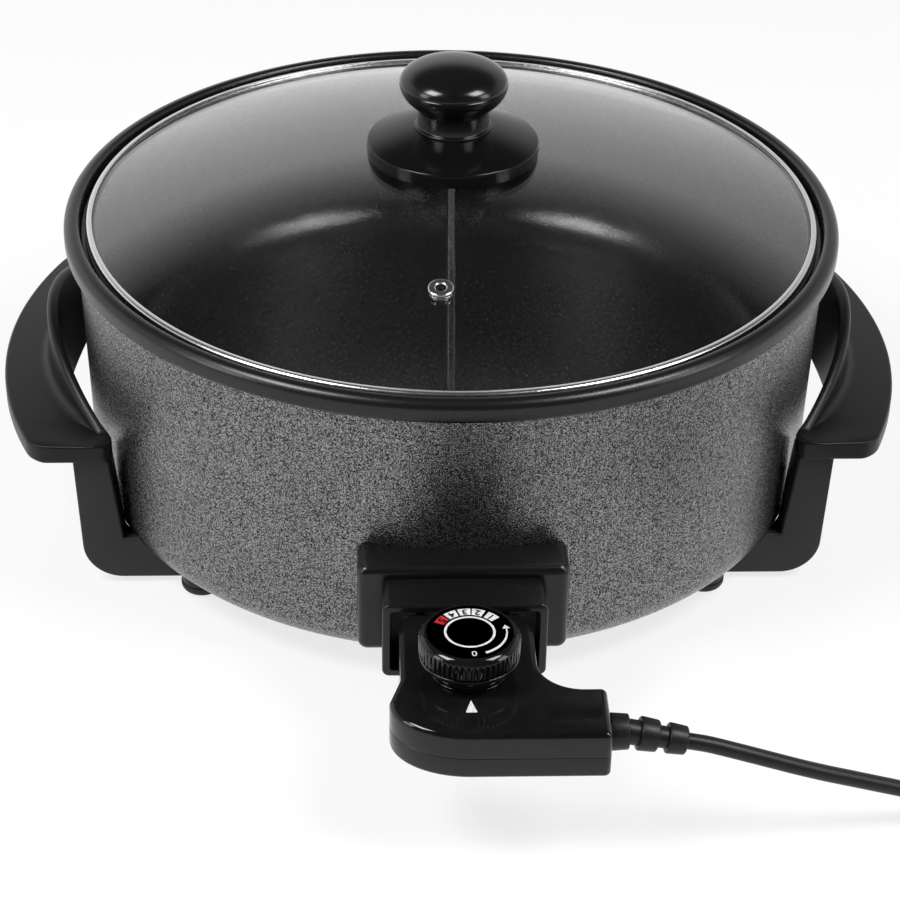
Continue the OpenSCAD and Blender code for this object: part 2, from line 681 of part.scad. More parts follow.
module lid_ring() {
    lip_r = ring_r - ring_w;
    curve = 1;
    top_z = glass_edge_z + 1.5;
    slope = glass_r / sqrt(dome_r * dome_r - glass_r * glass_r);
    color("silver") at_pan() rotate_extrude($fn = 180) difference() {
        polygon(concat([[lip_r, ledge_z]], arc(ring_r - curve, ledge_z + curve, curve, -90, 0, 5),
            arc(ring_r - curve, top_z - curve, curve, 0, 90, 5), arc(lip_r + curve, top_z - curve, curve, 90, 180, 5)));
        polygon([[glass_r + 0.1, glass_edge_z + 0.1], [lip_r - 1, glass_edge_z + 0.1 + slope * (glass_r + 1.1 - lip_r)],
            [lip_r - 1, glass_edge_z - 1.07 * glass_t - 0.1], [glass_r + 0.1, glass_edge_z - 1.07 * glass_t - 0.1]]);
    }
}

module vent_grommet() {
    color("silver") at_pan() at_vent() difference() {
        union() {
            translate([0, 0, -glass_t - 1.5]) cylinder(r = vent_r - 2.2, h = glass_t + 2.5);
            translate([0, 0, 0.1]) cylinder(r1 = vent_r, r2 = vent_r - 1, h = 1.4);
            translate([0, 0, -glass_t - 1.5]) cylinder(r = vent_r - 0.4, h = 1.3);
        }
        translate([0, 0, -2 * glass_t]) cylinder(r = vent_r - 3.6, h = 4 * glass_t);
    }
}

module knob() {
    join = -acos(knob_neck_r / knob_r);
    foot_h = 1.2;
    section = concat(
        [[0, knob_z], [knob_foot_r, knob_z], [knob_foot_r, knob_z + foot_h], [knob_neck_r, knob_z + foot_h + 0.6]],
        [for (i = [0:8]) let (a = join * (1 - i / 8)) [knob_r * cos(a), head_z + head_low_h * sin(a)]],
        [for (i = [1:12]) let (a = 90 * i / 12) [i == 12 ? 0 : knob_r * cos(a), head_z + head_top_h * sin(a)]]
    );
    color([0.05, 0.05, 0.05]) at_pan() difference() {
        rotate_extrude() polygon(section);
        translate([0, 0, knob_z - 1]) cylinder(r = knob_screw_r, h = neck_rise + 6);
    }
}

module knob_plate() {
    steps = 10;
    hole_r = knob_screw_r + hole_gap;
    curve = 2;
    section = concat(
        [for (i = [0:steps]) let (r = hole_r + (plate_r - hole_r) * i / steps) [r, dome_at(r) + 0.15]],
        arc(plate_r - curve, plate_top_z - curve, curve, 0, 90, 6),
        [[knob_foot_r, knob_z], [hole_r, knob_z]]
    );
    color([0.06, 0.06, 0.06]) at_pan() rotate_extrude() polygon(section);
}

module knob_washer() {
    color([0.2, 0.2, 0.2]) at_pan() translate([0, 0, washer_z]) difference() {
        cylinder(r = knob_screw_r + 5, h = 2);
        translate([0, 0, -1]) cylinder(r = knob_screw_r + hole_gap, h = 4);
    }
}
module knob_screw() {
    color("silver") at_pan()
        screw(0, 0, washer_z, knob_screw_r + 2.5, 3.4, knob_screw_r - fit_gap, knob_z + neck_rise - washer_z);
}

// Thermostat
function casing_outline(g) =
    let (n = neck_w / 2 - g, small = 3 - g, cx = corner_r - neck_w / 2 - 5, cy = front_y + corner_depth)
    concat(
        arc(neck_r - neck_w / 2, neck_y - neck_r, neck_r - g, 90, 180, 8), [[-n, cy + neck_shoulder]],
        [for (p = arc(0, 0, 1, 180, 270, 16)) [cx + (corner_r - g) * p[0], cy + (corner_depth - g) * p[1]]],
        arc(arm_x - 3, front_y + 3, small, 270, 360, 4),
        arc(arm_x - 3, arm_back_y - 3, small, 0, 90, 4),
        arc(neck_w / 2 + hollow_r, arm_back_y + hollow_r, hollow_r + g, 270, 180, 10),
        arc(neck_w / 2 - neck_r, neck_y - neck_r, neck_r - g, 0, 90, 8)
    );

module casing_cuts() {
    for (x = [-pin_x, pin_x]) bar_y(x, probe_z, neck_y + 1, neck_y - casing_wall - 0.5, contact_r + fit_gap);
    bar_y(0, probe_z, neck_y + 1, neck_y - casing_wall - 0.5, probe_r + fit_gap);
    bar_y(0, earth_z, neck_y + 1, neck_y - casing_wall - 0.5, earth_contact_r + fit_gap);
    translate([arm_x - casing_wall - 1, relief_y, relief_z]) rotate([0, 90, 0]) cylinder(r = relief_neck_r + fit_gap, h = casing_wall + 2);
}

module upper_casing() {
    color([0.04, 0.04, 0.04]) at_pan() difference() {
        union() {
            difference() {
                translate([0, 0, seam_z]) linear_extrude(casing_top_z - seam_z) polygon(casing_outline(0));
                translate([0, 0, seam_z - 1]) linear_extrude(casing_in_top_z - seam_z + 1) polygon(casing_outline(casing_wall));
            }
            for (p = casing_bosses) translate([p[0], p[1], seam_z]) cylinder(r = boss_r, h = casing_in_top_z - seam_z + casing_wall / 2);
        }
        casing_cuts();
        translate([0, dial_y, casing_in_top_z - 1]) cylinder(r = bush_r + fit_gap, h = casing_wall + 2);
        for (p = casing_bosses) translate([p[0], p[1], seam_z - 1]) cylinder(r = casing_screw_r, h = casing_screw_bite + 4);
    }
}

module lower_casing() {
    color([0.04, 0.04, 0.04]) at_pan() difference() {
        union() {
            difference() {
                translate([0, 0, casing_z]) linear_extrude(seam_h) polygon(casing_outline(0));
                translate([0, 0, casing_in_z]) linear_extrude(seam_h) polygon(casing_outline(casing_wall));
            }
            for (p = casing_bosses) translate([p[0], p[1], casing_z + casing_wall / 2]) cylinder(r = boss_r, h = seam_h - casing_wall / 2);
        }
        casing_cuts();
        for (p = casing_bosses) translate([p[0], p[1], casing_z - 1]) {
            cylinder(r = casing_screw_r + hole_gap, h = seam_h + 2);
            cylinder(r = casing_screw_r * 2, h = 3);
        }
    }
}

module casing_screws() {
    color("silver") at_pan() for (p = casing_bosses)
        screw(p[0], p[1], casing_z + 2, casing_screw_r * 2 - hole_gap, casing_screw_head, casing_screw_r - fit_gap, seam_h + casing_screw_bite);
}

module probe_rod() {
    color("silver") at_pan() {
        bar_y(0, probe_z, neck_y + probe_len, switch_y - switch_len / 2, probe_r);
        bar_y(0, probe_z, neck_y - casing_wall - 0.2, neck_y - casing_wall - 3, probe_r + 2);
    }
}

module contact_tube(x, z, inner_r, outer_r) {
    difference() {
        bar_y(x, z, neck_y - 0.2, switch_y - switch_len / 3, outer_r);
        bar_y(x, z, neck_y + 1, switch_y - switch_len / 3 - 1, inner_r);
    }
}
module contact_sleeves() {
    color("goldenrod") at_pan() for (x = [-pin_x, pin_x]) contact_tube(x, probe_z, pin_r + fit_gap, contact_r);
}
module earth_contact() {
    color("goldenrod") at_pan() contact_tube(0, earth_z, earth_r + fit_gap, earth_contact_r);
}

module switch_base() {
    half_w = pin_x + contact_r + 2.5;
    color("linen") at_pan() difference() {
        translate([-half_w, switch_y - switch_len, casing_in_z]) cube([2 * half_w, switch_len, switch_top_z - casing_in_z]);
        for (x = [-pin_x, pin_x]) bar_y(x, probe_z, switch_y + 1, switch_y - switch_len / 3 - 0.2, contact_r + fit_gap);
        bar_y(0, probe_z, switch_y + 1, switch_y - switch_len / 2 - 0.2, probe_r + fit_gap);
        bar_y(0, earth_z, switch_y + 1, switch_y - switch_len / 3 - 0.2, earth_contact_r + fit_gap);
    }
}

module bimetal_blade() {
    blade_w = 8;
    blade_y = switch_y - switch_len + 5;
    color("goldenrod") at_pan() translate([-blade_w / 2, dial_y - 7, switch_top_z]) cube([blade_w, blade_y - dial_y + 7, blade_t]);
}

module lead_wires() {
    wire_r = 1.1;
    wire_z = probe_z + 1.5;
    start_x = arm_x - casing_wall - 4;
    color("saddlebrown") at_pan() for (k = [-1, 0, 1]) {
        x = pin_x + 1 + 3 * k;
        y = relief_y + 3 * k;
        translate([x, y, wire_z]) rotate([0, 90, 0]) cylinder(r = wire_r, h = start_x - x);
        translate([x, y, wire_z]) sphere(r = wire_r);
        bar_y(x, wire_z, switch_y - switch_len, y, wire_r);
    }
}

module dial_collar() {
    color([0.04, 0.04, 0.04]) at_pan() translate([0, dial_y, 0]) difference() {
        union() {
            translate([0, 0, casing_top_z]) cylinder(r = collar_r, h = collar_h);
            translate([0, 0, casing_top_z + collar_h - collar_flange_h]) cylinder(r = dial_r - 0.3, h = collar_flange_h);
            translate([0, 0, casing_in_top_z - 3]) cylinder(r = bush_r, h = casing_wall + 4);
        }
        translate([0, 0, casing_in_top_z - 4]) cylinder(r = shaft_r + fit_gap, h = casing_wall + collar_h + 6);
    }
}

module strain_relief() {
    tail_r = cord_d / 2 + 2.8;
    inner = 4;
    gap = (relief_len - 3 * relief_rib) / 2;
    // Radius of the taper at distance x from the casing
    function taper(x) = relief_r + (tail_r - relief_r) * x / relief_len;
    first = [
        [0, -casing_wall - inner], [relief_neck_r + 1.8, -casing_wall - inner],
        [relief_neck_r + 1.8, -casing_wall - 0.1], [relief_neck_r, -casing_wall - 0.1],
        [relief_neck_r, 0], [relief_r, 0], [taper(relief_rib), relief_rib], [0, relief_rib]
    ];
    others = [for (k = [1:2]) let (a = k * (relief_rib + gap), b = a + relief_rib) each [
        [taper(a) - 2, a - relief_rib], [taper(a), a - relief_rib], [taper(b), b - relief_rib], [k == 2 ? 0 : taper(b) - 2, b - relief_rib]]];
    color([0.06, 0.06, 0.06]) at_pan() translate([arm_x, relief_y, relief_z]) rotate([0, 90, 0]) {
        rotate_extrude() polygon(first);
        translate([0, 0, relief_rib]) rotate([0, relief_tilt, 0]) rotate_extrude()
            polygon(concat([[0, -2], [taper(relief_rib) - 2, -2]], others));
    }
}

// Lead
module cord() { color([0.07, 0.07, 0.07]) tube(cord_route, cord_d / 2, 8); }
module cord_coil() { color([0.07, 0.07, 0.07]) tube(coil_path, cord_d / 2, 6); }

module cord_tie() {
    tie_w = 6;
    tie_t = 0.9;
    near = coil_radius(turn_back + 0.25) - cord_d / 2 - seat_gap;
    far = coil_radius(0.5) + cord_d / 2 + seat_gap;
    low = coil_low_z - cord_d / 2 - seat_gap;
    high = coil_high_z + cord_d / 2 + seat_gap;
    color([0.15, 0.15, 0.15]) translate([coil_x - tie_w / 2, coil_y, 0]) rotate([90, 0, 90]) linear_extrude(tie_w) difference() {
        translate([near - tie_t, low - tie_t]) square([far - near + 2 * tie_t, high - low + 2 * tie_t]);
        translate([near, low]) square([far - near, high - low]);
    }
}

module plug_body() {
    tail = plug_len * 0.3;
    edge = 4;
    plug_h = 2 * plug_z - 0.2;
    color([0.07, 0.07, 0.07]) translate([coil_out_x, plug_y, plug_z]) rotate([-90, 0, 0]) hull() {
        cylinder(r = cord_d / 2 + 2, h = 1, $fn = 32);
        translate([0, 0, tail]) linear_extrude(plug_len - tail) round_rect(plug_w, plug_h, edge, $fn = 32);
    }
}
module plug_pins() {
    color("silver") for (s = [-0.5, 0.5])
        translate([coil_out_x + s * plug_pin_gap, plug_y + plug_len, plug_z]) rotate([-90, 0, 0]) cylinder(r = 2.4, h = plug_pin_len);
}

// Dial
module dial() {
    cap_t = 3;
    skirt_t = 3;
    bevel = 2.5;
    flute_r = 1;
    color([0.05, 0.05, 0.05]) at_pan() translate([0, dial_y, dial_z]) difference() {
        union() {
            cylinder(r = dial_r, h = dial_h - bevel);
            translate([0, 0, dial_h - bevel]) cylinder(r1 = dial_r, r2 = dial_r - bevel, h = bevel);
        }
        difference() {
            translate([0, 0, -1]) cylinder(r = dial_r - skirt_t, h = dial_h - cap_t + 1);
            translate([0, 0, -2]) cylinder(r = shaft_r + 4, h = dial_h);
        }
        translate([0, 0, -1]) cylinder(r = shaft_r + 0.02, h = dial_h - cap_t + 1);
        for (k = [0:flute_count - 1]) rotate(360 * k / flute_count) translate([dial_r + flute_r * 0.3, 0, -1])
            cylinder(r = flute_r, h = dial_h - bevel + 1.3, $fn = 16);
    }
}
module dial_shaft() {
    color("silver") at_pan() translate([0, dial_y, shaft_low_z]) cylinder(r = shaft_r, h = dial_top_z - 3 - shaft_low_z);
}

outer_body();
pan();
heating_element();
terminal_pins();
earth_pin();
probe_sleeve();
socket_housing();
pin_carrier();
socket_screws();
left_handle();
right_handle();
left_front_leg();
left_rear_leg();
right_front_leg();
right_rear_leg();
feet();
leg_screws();
leg_nuts();
handle_screws();
base_screws();
lid_glass();
lid_ring();
vent_grommet();
knob();
knob_plate();
knob_screw();
knob_washer();
upper_casing();
lower_casing();
probe_rod();
contact_sleeves();
earth_contact();
switch_base();
bimetal_blade();
lead_wires();
casing_screws();
dial_collar();
strain_relief();
cord();
cord_coil();
cord_tie();
plug_body();
plug_pins();
dial();
dial_shaft();
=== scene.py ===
import math

import bmesh
import bpy
from mathutils import Matrix, Vector


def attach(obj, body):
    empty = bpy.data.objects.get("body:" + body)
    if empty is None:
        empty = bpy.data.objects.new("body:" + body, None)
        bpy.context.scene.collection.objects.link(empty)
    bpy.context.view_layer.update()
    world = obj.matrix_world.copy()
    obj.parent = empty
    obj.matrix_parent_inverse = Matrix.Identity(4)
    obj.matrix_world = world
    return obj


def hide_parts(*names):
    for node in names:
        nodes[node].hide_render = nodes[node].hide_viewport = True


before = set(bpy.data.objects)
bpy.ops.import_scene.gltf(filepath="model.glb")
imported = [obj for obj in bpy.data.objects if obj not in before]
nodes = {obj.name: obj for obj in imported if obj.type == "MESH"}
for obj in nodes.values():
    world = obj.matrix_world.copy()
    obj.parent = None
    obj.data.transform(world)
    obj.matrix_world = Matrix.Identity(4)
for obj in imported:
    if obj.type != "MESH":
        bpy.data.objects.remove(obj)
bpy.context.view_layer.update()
scene = bpy.context.scene
scene.view_settings.view_transform = "Standard"

mm = 0.001
panY = 57.99  # the pan's axis in the part's frame, mm
print("frame loaded:", len(nodes), "nodes")

# camera: where the picture was taken from
shot = {"at": (-0.0483, -1.0812, 0.7481), "yaw": -2.5, "tilt": 57.3, "roll": 1.06, "lens": 98.0}
camera = bpy.data.objects.new("shotCamera", bpy.data.cameras.new("shotCamera"))
camera.data.sensor_width = 36.0
camera.data.lens = shot["lens"]
camera.matrix_world = (
    Matrix.Translation(shot["at"])
    @ Matrix.Rotation(math.radians(shot["yaw"]), 4, "Z")
    @ Matrix.Rotation(math.radians(shot["tilt"]), 4, "X")
    @ Matrix.Rotation(math.radians(shot["roll"]), 4, "Z")
)
scene.collection.objects.link(camera)
scene.camera = camera
print("camera placed")


# finishes
noiseSpan = (0.3, 0.7)  # where most of a noise lies


def newFinish(name, slotName, colour, rough, metal=0.0):
    finish = bpy.data.materials.new(name)
    finish.use_nodes = True
    shader = finish.node_tree.nodes["Principled BSDF"]
    shader.inputs["Base Color"].default_value = (*colour, 1.0)
    shader.inputs["Roughness"].default_value = rough
    shader.inputs["Metallic"].default_value = metal
    finish["slotName"] = slotName
    return finish, shader


def newNode(finish, kind, **values):
    node = finish.node_tree.nodes.new("ShaderNode" + kind)
    for socket, value in values.items():
        node.inputs[socket.replace("_", " ")].default_value = value
    return node


def wire(finish, source, target):
    finish.node_tree.links.new(source, target)


def grainNoise(finish, scale, detail=4.0, roughness=0.55, distortion=0.0, stretch=None):
    place = newNode(finish, "TexCoord")
    source = place.outputs["Object"]
    if stretch:
        mapping = newNode(finish, "Mapping", Scale=stretch)
        wire(finish, source, mapping.inputs["Vector"])
        source = mapping.outputs["Vector"]
    noise = newNode(finish, "TexNoise", Scale=scale, Detail=detail, Roughness=roughness, Distortion=distortion)
    wire(finish, source, noise.inputs["Vector"])
    return noise.outputs["Fac"]


def spread(finish, source, low, high, toLow, toHigh):
    ranged = newNode(finish, "MapRange", From_Min=low, From_Max=high, To_Min=toLow, To_Max=toHigh)
    wire(finish, source, ranged.inputs["Value"])
    return ranged.outputs["Result"]


def twoTone(finish, source, low, dark, high, light):
    ramp = newNode(finish, "ValToRGB")
    ends = ramp.color_ramp.elements
    ends[0].position, ends[0].color = low, (*dark, 1.0)
    ends[1].position, ends[1].color = high, (*light, 1.0)
    wire(finish, source, ramp.inputs["Fac"])
    return ramp.outputs["Color"]


def combine(tree, operation, sources):  # one value from several, by a chain of Math nodes
    result = sources[0]
    for source in sources[1:]:
        step = tree.nodes.new("ShaderNodeMath")
        step.operation = operation
        tree.links.new(result, step.inputs[0])
        if isinstance(source, float):
            step.inputs[1].default_value = source
        else:
            tree.links.new(source, step.inputs[1])
        result = step.outputs["Value"]
    return result


def relief(finish, shader, source, strength, height):
    bump = newNode(finish, "Bump", Strength=strength, Distance=height)
    wire(finish, source, bump.inputs["Height"])
    wire(finish, bump.outputs["Normal"], shader.inputs["Normal"])


def hammerPaintFinish():
    look = {"worm": 980.0, "groove": 0.015, "dark": (0.010, 0.010, 0.0103), "crest": 0.15,
            "light": (0.285, 0.285, 0.29), "rough": (0.40, 0.27), "relief": 0.55}
    finish, shader = newFinish("hammerPaint", "hammertone_paint", (0.2, 0.2, 0.2), 0.34, 0.9)
    worm = grainNoise(finish, look["worm"], 0.5, 0.5)
    ridge = newNode(finish, "Math")
    ridge.operation = "ABSOLUTE"
    wire(finish, combine(finish.node_tree, "SUBTRACT", [worm, 0.5]), ridge.inputs[0])
    tone = twoTone(finish, ridge.outputs["Value"], look["groove"], look["dark"], look["crest"], look["light"])
    wire(finish, tone, shader.inputs["Base Color"])
    wire(finish, spread(finish, ridge.outputs["Value"], 0.0, 0.12, *look["rough"]), shader.inputs["Roughness"])
    relief(finish, shader, ridge.outputs["Value"], look["relief"], 0.0005)
    return finish


def nonstickFinish():
    look = {"speck": 900.0, "dark": (0.004, 0.004, 0.0043), "light": (0.0075, 0.0075, 0.0078),
            "rough": (0.33, 0.25), "shine": 0.4, "relief": 0.025}
    finish, shader = newFinish("nonstickCoat", "nonstick_coat", (0.006, 0.006, 0.0063), 0.29)
    shader.inputs["Specular IOR Level"].default_value = look["shine"]
    speck = grainNoise(finish, look["speck"], 3.0, 0.6)
    wire(finish, twoTone(finish, speck, 0.42, look["dark"], 0.72, look["light"]), shader.inputs["Base Color"])
    wire(finish, spread(finish, speck, *noiseSpan, *look["rough"]), shader.inputs["Roughness"])
    relief(finish, shader, speck, look["relief"], 0.0003)
    return finish


def mouldedFinish(name, slotName, colour, rough, grain, strength, shine=0.5):
    fleck = {"low": 0.35, "high": 0.75, "paler": 1.7, "smooth": 0.9, "dull": 1.15}
    finish, shader = newFinish(name, slotName, colour, rough)
    shader.inputs["Specular IOR Level"].default_value = shine
    skin = grainNoise(finish, grain, 4.0, 0.6)
    pale = tuple(c * fleck["paler"] for c in colour)
    wire(finish, twoTone(finish, skin, fleck["low"], colour, fleck["high"], pale), shader.inputs["Base Color"])
    gloss = spread(finish, skin, *noiseSpan, rough * fleck["smooth"], rough * fleck["dull"])
    wire(finish, gloss, shader.inputs["Roughness"])
    relief(finish, shader, skin, strength, 0.0002)
    return finish


def metalFinish(name, slotName, colour, rough, stretch):
    brush = {"scale": 500.0, "darker": 0.86, "smooth": 0.85, "dull": 1.2}
    finish, shader = newFinish(name, slotName, colour, rough, 1.0)
    streak = grainNoise(finish, brush["scale"], 3.0, 0.6, 0.0, stretch)
    shade = tuple(c * brush["darker"] for c in colour)
    wire(finish, twoTone(finish, streak, noiseSpan[0], shade, noiseSpan[1], colour), shader.inputs["Base Color"])
    gloss = spread(finish, streak, *noiseSpan, rough * brush["smooth"], rough * brush["dull"])
    wire(finish, gloss, shader.inputs["Roughness"])
    return finish


def glassFinish():
    finish, shader = newFinish("lidGlass", "lid_glass", (0.97, 0.98, 0.98), 0.0)
    shader.inputs["Transmission Weight"].default_value = 1.0
    shader.inputs["IOR"].default_value = 1.5
    clear = newNode(finish, "BsdfTransparent", Color=(0.93, 0.94, 0.94, 1.0))
    path = newNode(finish, "LightPath")
    pick = newNode(finish, "MixShader")
    wire(finish, path.outputs["Is Shadow Ray"], pick.inputs[0])
    wire(finish, shader.outputs["BSDF"], pick.inputs[1])
    wire(finish, clear.outputs["BSDF"], pick.inputs[2])
    wire(finish, pick.outputs["Shader"], finish.node_tree.nodes["Material Output"].inputs["Surface"])
    return finish


hammerPaint = hammerPaintFinish()
nonstickCoat = nonstickFinish()
matteBlack = mouldedFinish("matteBlack", "black_moulding", (0.004, 0.004, 0.0042), 0.38, 1400.0, 0.10, 0.26)
# the legs' black moulding, painted paler than matteBlack to stand in for the light that falls on the legs
legBlackPaintedLit = mouldedFinish("legBlackPaintedLit", "black_moulding", (0.018, 0.018, 0.0185), 0.42, 1000.0, 0.12, 0.26)
socketBlack = mouldedFinish("socketBlack", "black_moulding", (0.004, 0.004, 0.0042), 0.24, 1200.0, 0.05, 0.36)
glossBlack = mouldedFinish("glossBlack", "gloss_moulding", (0.0045, 0.0045, 0.005), 0.09, 90.0, 0.012, 0.36)
knobBlack = mouldedFinish("knobBlack", "gloss_moulding", (0.004, 0.004, 0.0042), 0.17, 1200.0, 0.03, 0.4)
plateBlack = mouldedFinish("plateBlack", "gloss_moulding", (0.003, 0.003, 0.0032), 0.17, 1200.0, 0.03, 0.2)
footRubber = mouldedFinish("footRubber", "foot_rubber", (0.010, 0.010, 0.010), 0.7, 1100.0, 0.15)
cordSheath = mouldedFinish("cordSheath", "cord_sheath", (0.006, 0.006, 0.0062), 0.40, 1300.0, 0.07, 0.32)
darkPhenolic = mouldedFinish("darkPhenolic", "insulator", (0.016, 0.014, 0.012), 0.55, 700.0, 0.08)
brightSteel = metalFinish("brightSteel", "bright_ring", (0.84, 0.84, 0.84), 0.21, (1.0, 1.0, 6.0))
plainSteel = metalFinish("plainSteel", "steel", (0.62, 0.62, 0.63), 0.30, (1.0, 1.0, 1.0))
contactBrass = metalFinish("contactBrass", "contact_brass", (0.78, 0.62, 0.30), 0.25, (1.0, 1.0, 1.0))
lidGlass = glassFinish()
printWhite = mouldedFinish("printWhite", "", (0.48, 0.48, 0.48), 0.5, 900.0, 0.0)
printRed = mouldedFinish("printRed", "", (0.32, 0.008, 0.016), 0.5, 900.0, 0.0)
print("finishes made:", len(bpy.data.materials))


# ways of shaping
def arcPoints(cx, cy, r, start, end, count):
    turns = [math.radians(start + (end - start) * i / count) for i in range(count + 1)]
    return [(cx + r * math.cos(a), cy + r * math.sin(a)) for a in turns]


def roundCorner(x, y, r, start, end, count):  # an arc in place of the corner at x, y
    mid = math.radians((start + end) / 2)
    cx, cy = x - math.copysign(r, math.cos(mid)), y - math.copysign(r, math.sin(mid))
    return arcPoints(cx, cy, r, start, end, count)


def tidy(bm):
    bmesh.ops.remove_doubles(bm, verts=bm.verts[:], dist=2e-6)
    bmesh.ops.dissolve_degenerate(bm, edges=bm.edges[:], dist=1e-7)
    bmesh.ops.recalc_face_normals(bm, faces=bm.faces[:])
    return bm


def lathe(profile, steps=160, closed=True):  # profile of (radius, height) in mm, turned about the upright axis
    bm = bmesh.new()
    ring = [bm.verts.new((r * mm, 0.0, z * mm)) for r, z in profile]
    edges = [bm.edges.new(pair) for pair in zip(ring, ring[1:])]
    if closed:
        edges.append(bm.edges.new((ring[-1], ring[0])))
    bmesh.ops.spin(bm, geom=ring + edges, cent=(0, 0, 0), axis=(0, 0, 1), angle=2 * math.pi,
                   steps=steps, use_merge=True)
    return tidy(bm)


def slab(outline, low, high, topRound=0.0, lowRound=0.0, segments=4):  # flat outline in mm, raised from low to high
    bm = bmesh.new()
    face = bm.faces.new([bm.verts.new((x * mm, y * mm, low * mm)) for x, y in outline])
    raised = bmesh.ops.extrude_face_region(bm, geom=[face])["geom"]
    lifted = [g for g in raised if isinstance(g, bmesh.types.BMVert)]
    bmesh.ops.translate(bm, verts=lifted, vec=(0, 0, (high - low) * mm))
    bmesh.ops.recalc_face_normals(bm, faces=bm.faces[:])
    for level, rounding in ((high, topRound), (low, lowRound)):
        if rounding:
            rim = [e for e in bm.edges if all(abs(v.co.z - level * mm) < 1e-7 for v in e.verts)]
            bmesh.ops.bevel(bm, geom=rim, offset=rounding * mm, offset_type="OFFSET", affect="EDGES",
                            segments=segments, profile=0.5, material=-1, clamp_overlap=True)
    return tidy(bm)


def turnForward(bm):  # an outline drawn flat becomes one that faces the front, and its height a depth
    bmesh.ops.rotate(bm, verts=bm.verts[:], cent=(0, 0, 0), matrix=Matrix.Rotation(math.radians(90), 3, "X"))
    return bm


def shift(bm, x=0.0, y=0.0, z=0.0):
    bmesh.ops.translate(bm, verts=bm.verts[:], vec=(x * mm, y * mm, z * mm))
    return bm


def loft(sections):  # closed rings of points in mm, one after another, with the first and last filled
    bm = bmesh.new()
    rings = []
    for points in sections:
        verts = [bm.verts.new((x * mm, y * mm, z * mm)) for x, y, z in points]
        rings.append([bm.edges.new(pair) for pair in zip(verts, verts[1:] + verts[:1])])
    for ring, following in zip(rings, rings[1:]):
        bmesh.ops.bridge_loops(bm, edges=ring + following)
    for ring in (rings[0], rings[-1]):
        bmesh.ops.edgeloop_fill(bm, edges=ring)
    return tidy(bm)


def roundBox(width, height, corner, count=6):
    x, y = width / 2 - corner, height / 2 - corner
    corners = ((x, y, 0), (-x, y, 90), (-x, -y, 180), (x, -y, 270))
    return [p for cx, cy, a in corners for p in arcPoints(cx, cy, corner, a, a + 90, count)]


def asObject(bm, name):
    mesh = bpy.data.meshes.new(name)
    bm.to_mesh(mesh)
    bm.free()
    piece = bpy.data.objects.new(name, mesh)
    scene.collection.objects.link(piece)
    return piece


def post(x, y, r, low, high):  # an upright round peg
    return shift(lathe([(0.0, low), (r, low), (r, high), (0.0, high)], 48, closed=False), x, y)


def gather(shapes):  # several shapes in one mesh
    bm = bmesh.new()
    for shape in shapes:
        one = bpy.data.meshes.new("gathered")
        shape.to_mesh(one)
        shape.free()
        bm.from_mesh(one)
        bpy.data.meshes.remove(one)
    return bm


def carve(piece, bm, how="DIFFERENCE"):  # cuts a second shape out of a piece, or joins it on
    tool = asObject(bm, "carveTool")
    cut = piece.modifiers.new("carve", "BOOLEAN")
    cut.object, cut.operation, cut.solver = tool, how, "EXACT"
    bpy.context.view_layer.update()
    shape = bpy.data.meshes.new_from_object(piece.evaluated_get(bpy.context.evaluated_depsgraph_get()))
    piece.modifiers.clear()
    old, piece.data = piece.data, shape
    shape.name = piece.name
    bpy.data.meshes.remove(old)
    bpy.data.objects.remove(tool)
    return piece


def dress(piece, finish, body, *replaced, sharp=35.0):
    mesh = piece.data
    mesh.materials.clear()
    mesh.materials.append(finish)
    mesh.polygons.foreach_set("use_smooth", [True] * len(mesh.polygons))
    mesh.set_sharp_from_angle(angle=math.radians(sharp))
    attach(piece, body)
    if replaced:
        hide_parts(*replaced)
    return piece


# mains lead, its coil, tie and plug
lead = {
    "route": [(0.0954, -0.241, 0.0544), (0.1052, -0.241, 0.0523), (0.115, -0.2413, 0.0495), (0.126, -0.2413, 0.0459),
              (0.137, -0.241, 0.042), (0.148, -0.2405, 0.038), (0.160, -0.2395, 0.0336), (0.172, -0.238, 0.0292),
              (0.184, -0.2365, 0.0248), (0.196, -0.235, 0.0204), (0.207, -0.2335, 0.0164), (0.218, -0.232, 0.0126),
              (0.229, -0.2305, 0.0093), (0.240, -0.2292, 0.0068), (0.250, -0.2284, 0.0054), (0.260, -0.228, 0.005)],
    "thick": 0.0075, "coilAt": (0.268, -0.179), "coilRadius": 0.049, "pitch": 0.0081,
    "turns": 4.25, "turnBack": 2.25, "low": 0.005, "leadOut": 0.046,
}


def smoothRoute(points, count):
    path = []
    for i in range(len(points) - 1):
        a, b, c, d = (Vector(points[min(max(i + k, 0), len(points) - 1)]) for k in (-1, 0, 1, 2))
        for s in range(count):
            t = s / count
            bent = 2 * b + (c - a) * t + (2 * a - 5 * b + 4 * c - d) * t * t
            path.append(0.5 * (bent + (3 * b - a - 3 * c + d) * t ** 3))
    return path + [Vector(points[-1])]


def coilPoint(t):
    inward = t if t < lead["turnBack"] else 2 * lead["turnBack"] - t
    r = lead["coilRadius"] - lead["pitch"] * inward
    climb = min(max((t - lead["turnBack"] + 0.25) * 2, 0.0), 1.0)
    z = lead["low"] + lead["pitch"] * climb * climb * (3 - 2 * climb)
    a = 2 * math.pi * t - math.pi / 2
    return Vector((lead["coilAt"][0] + r * math.cos(a), lead["coilAt"][1] + r * math.sin(a), z))


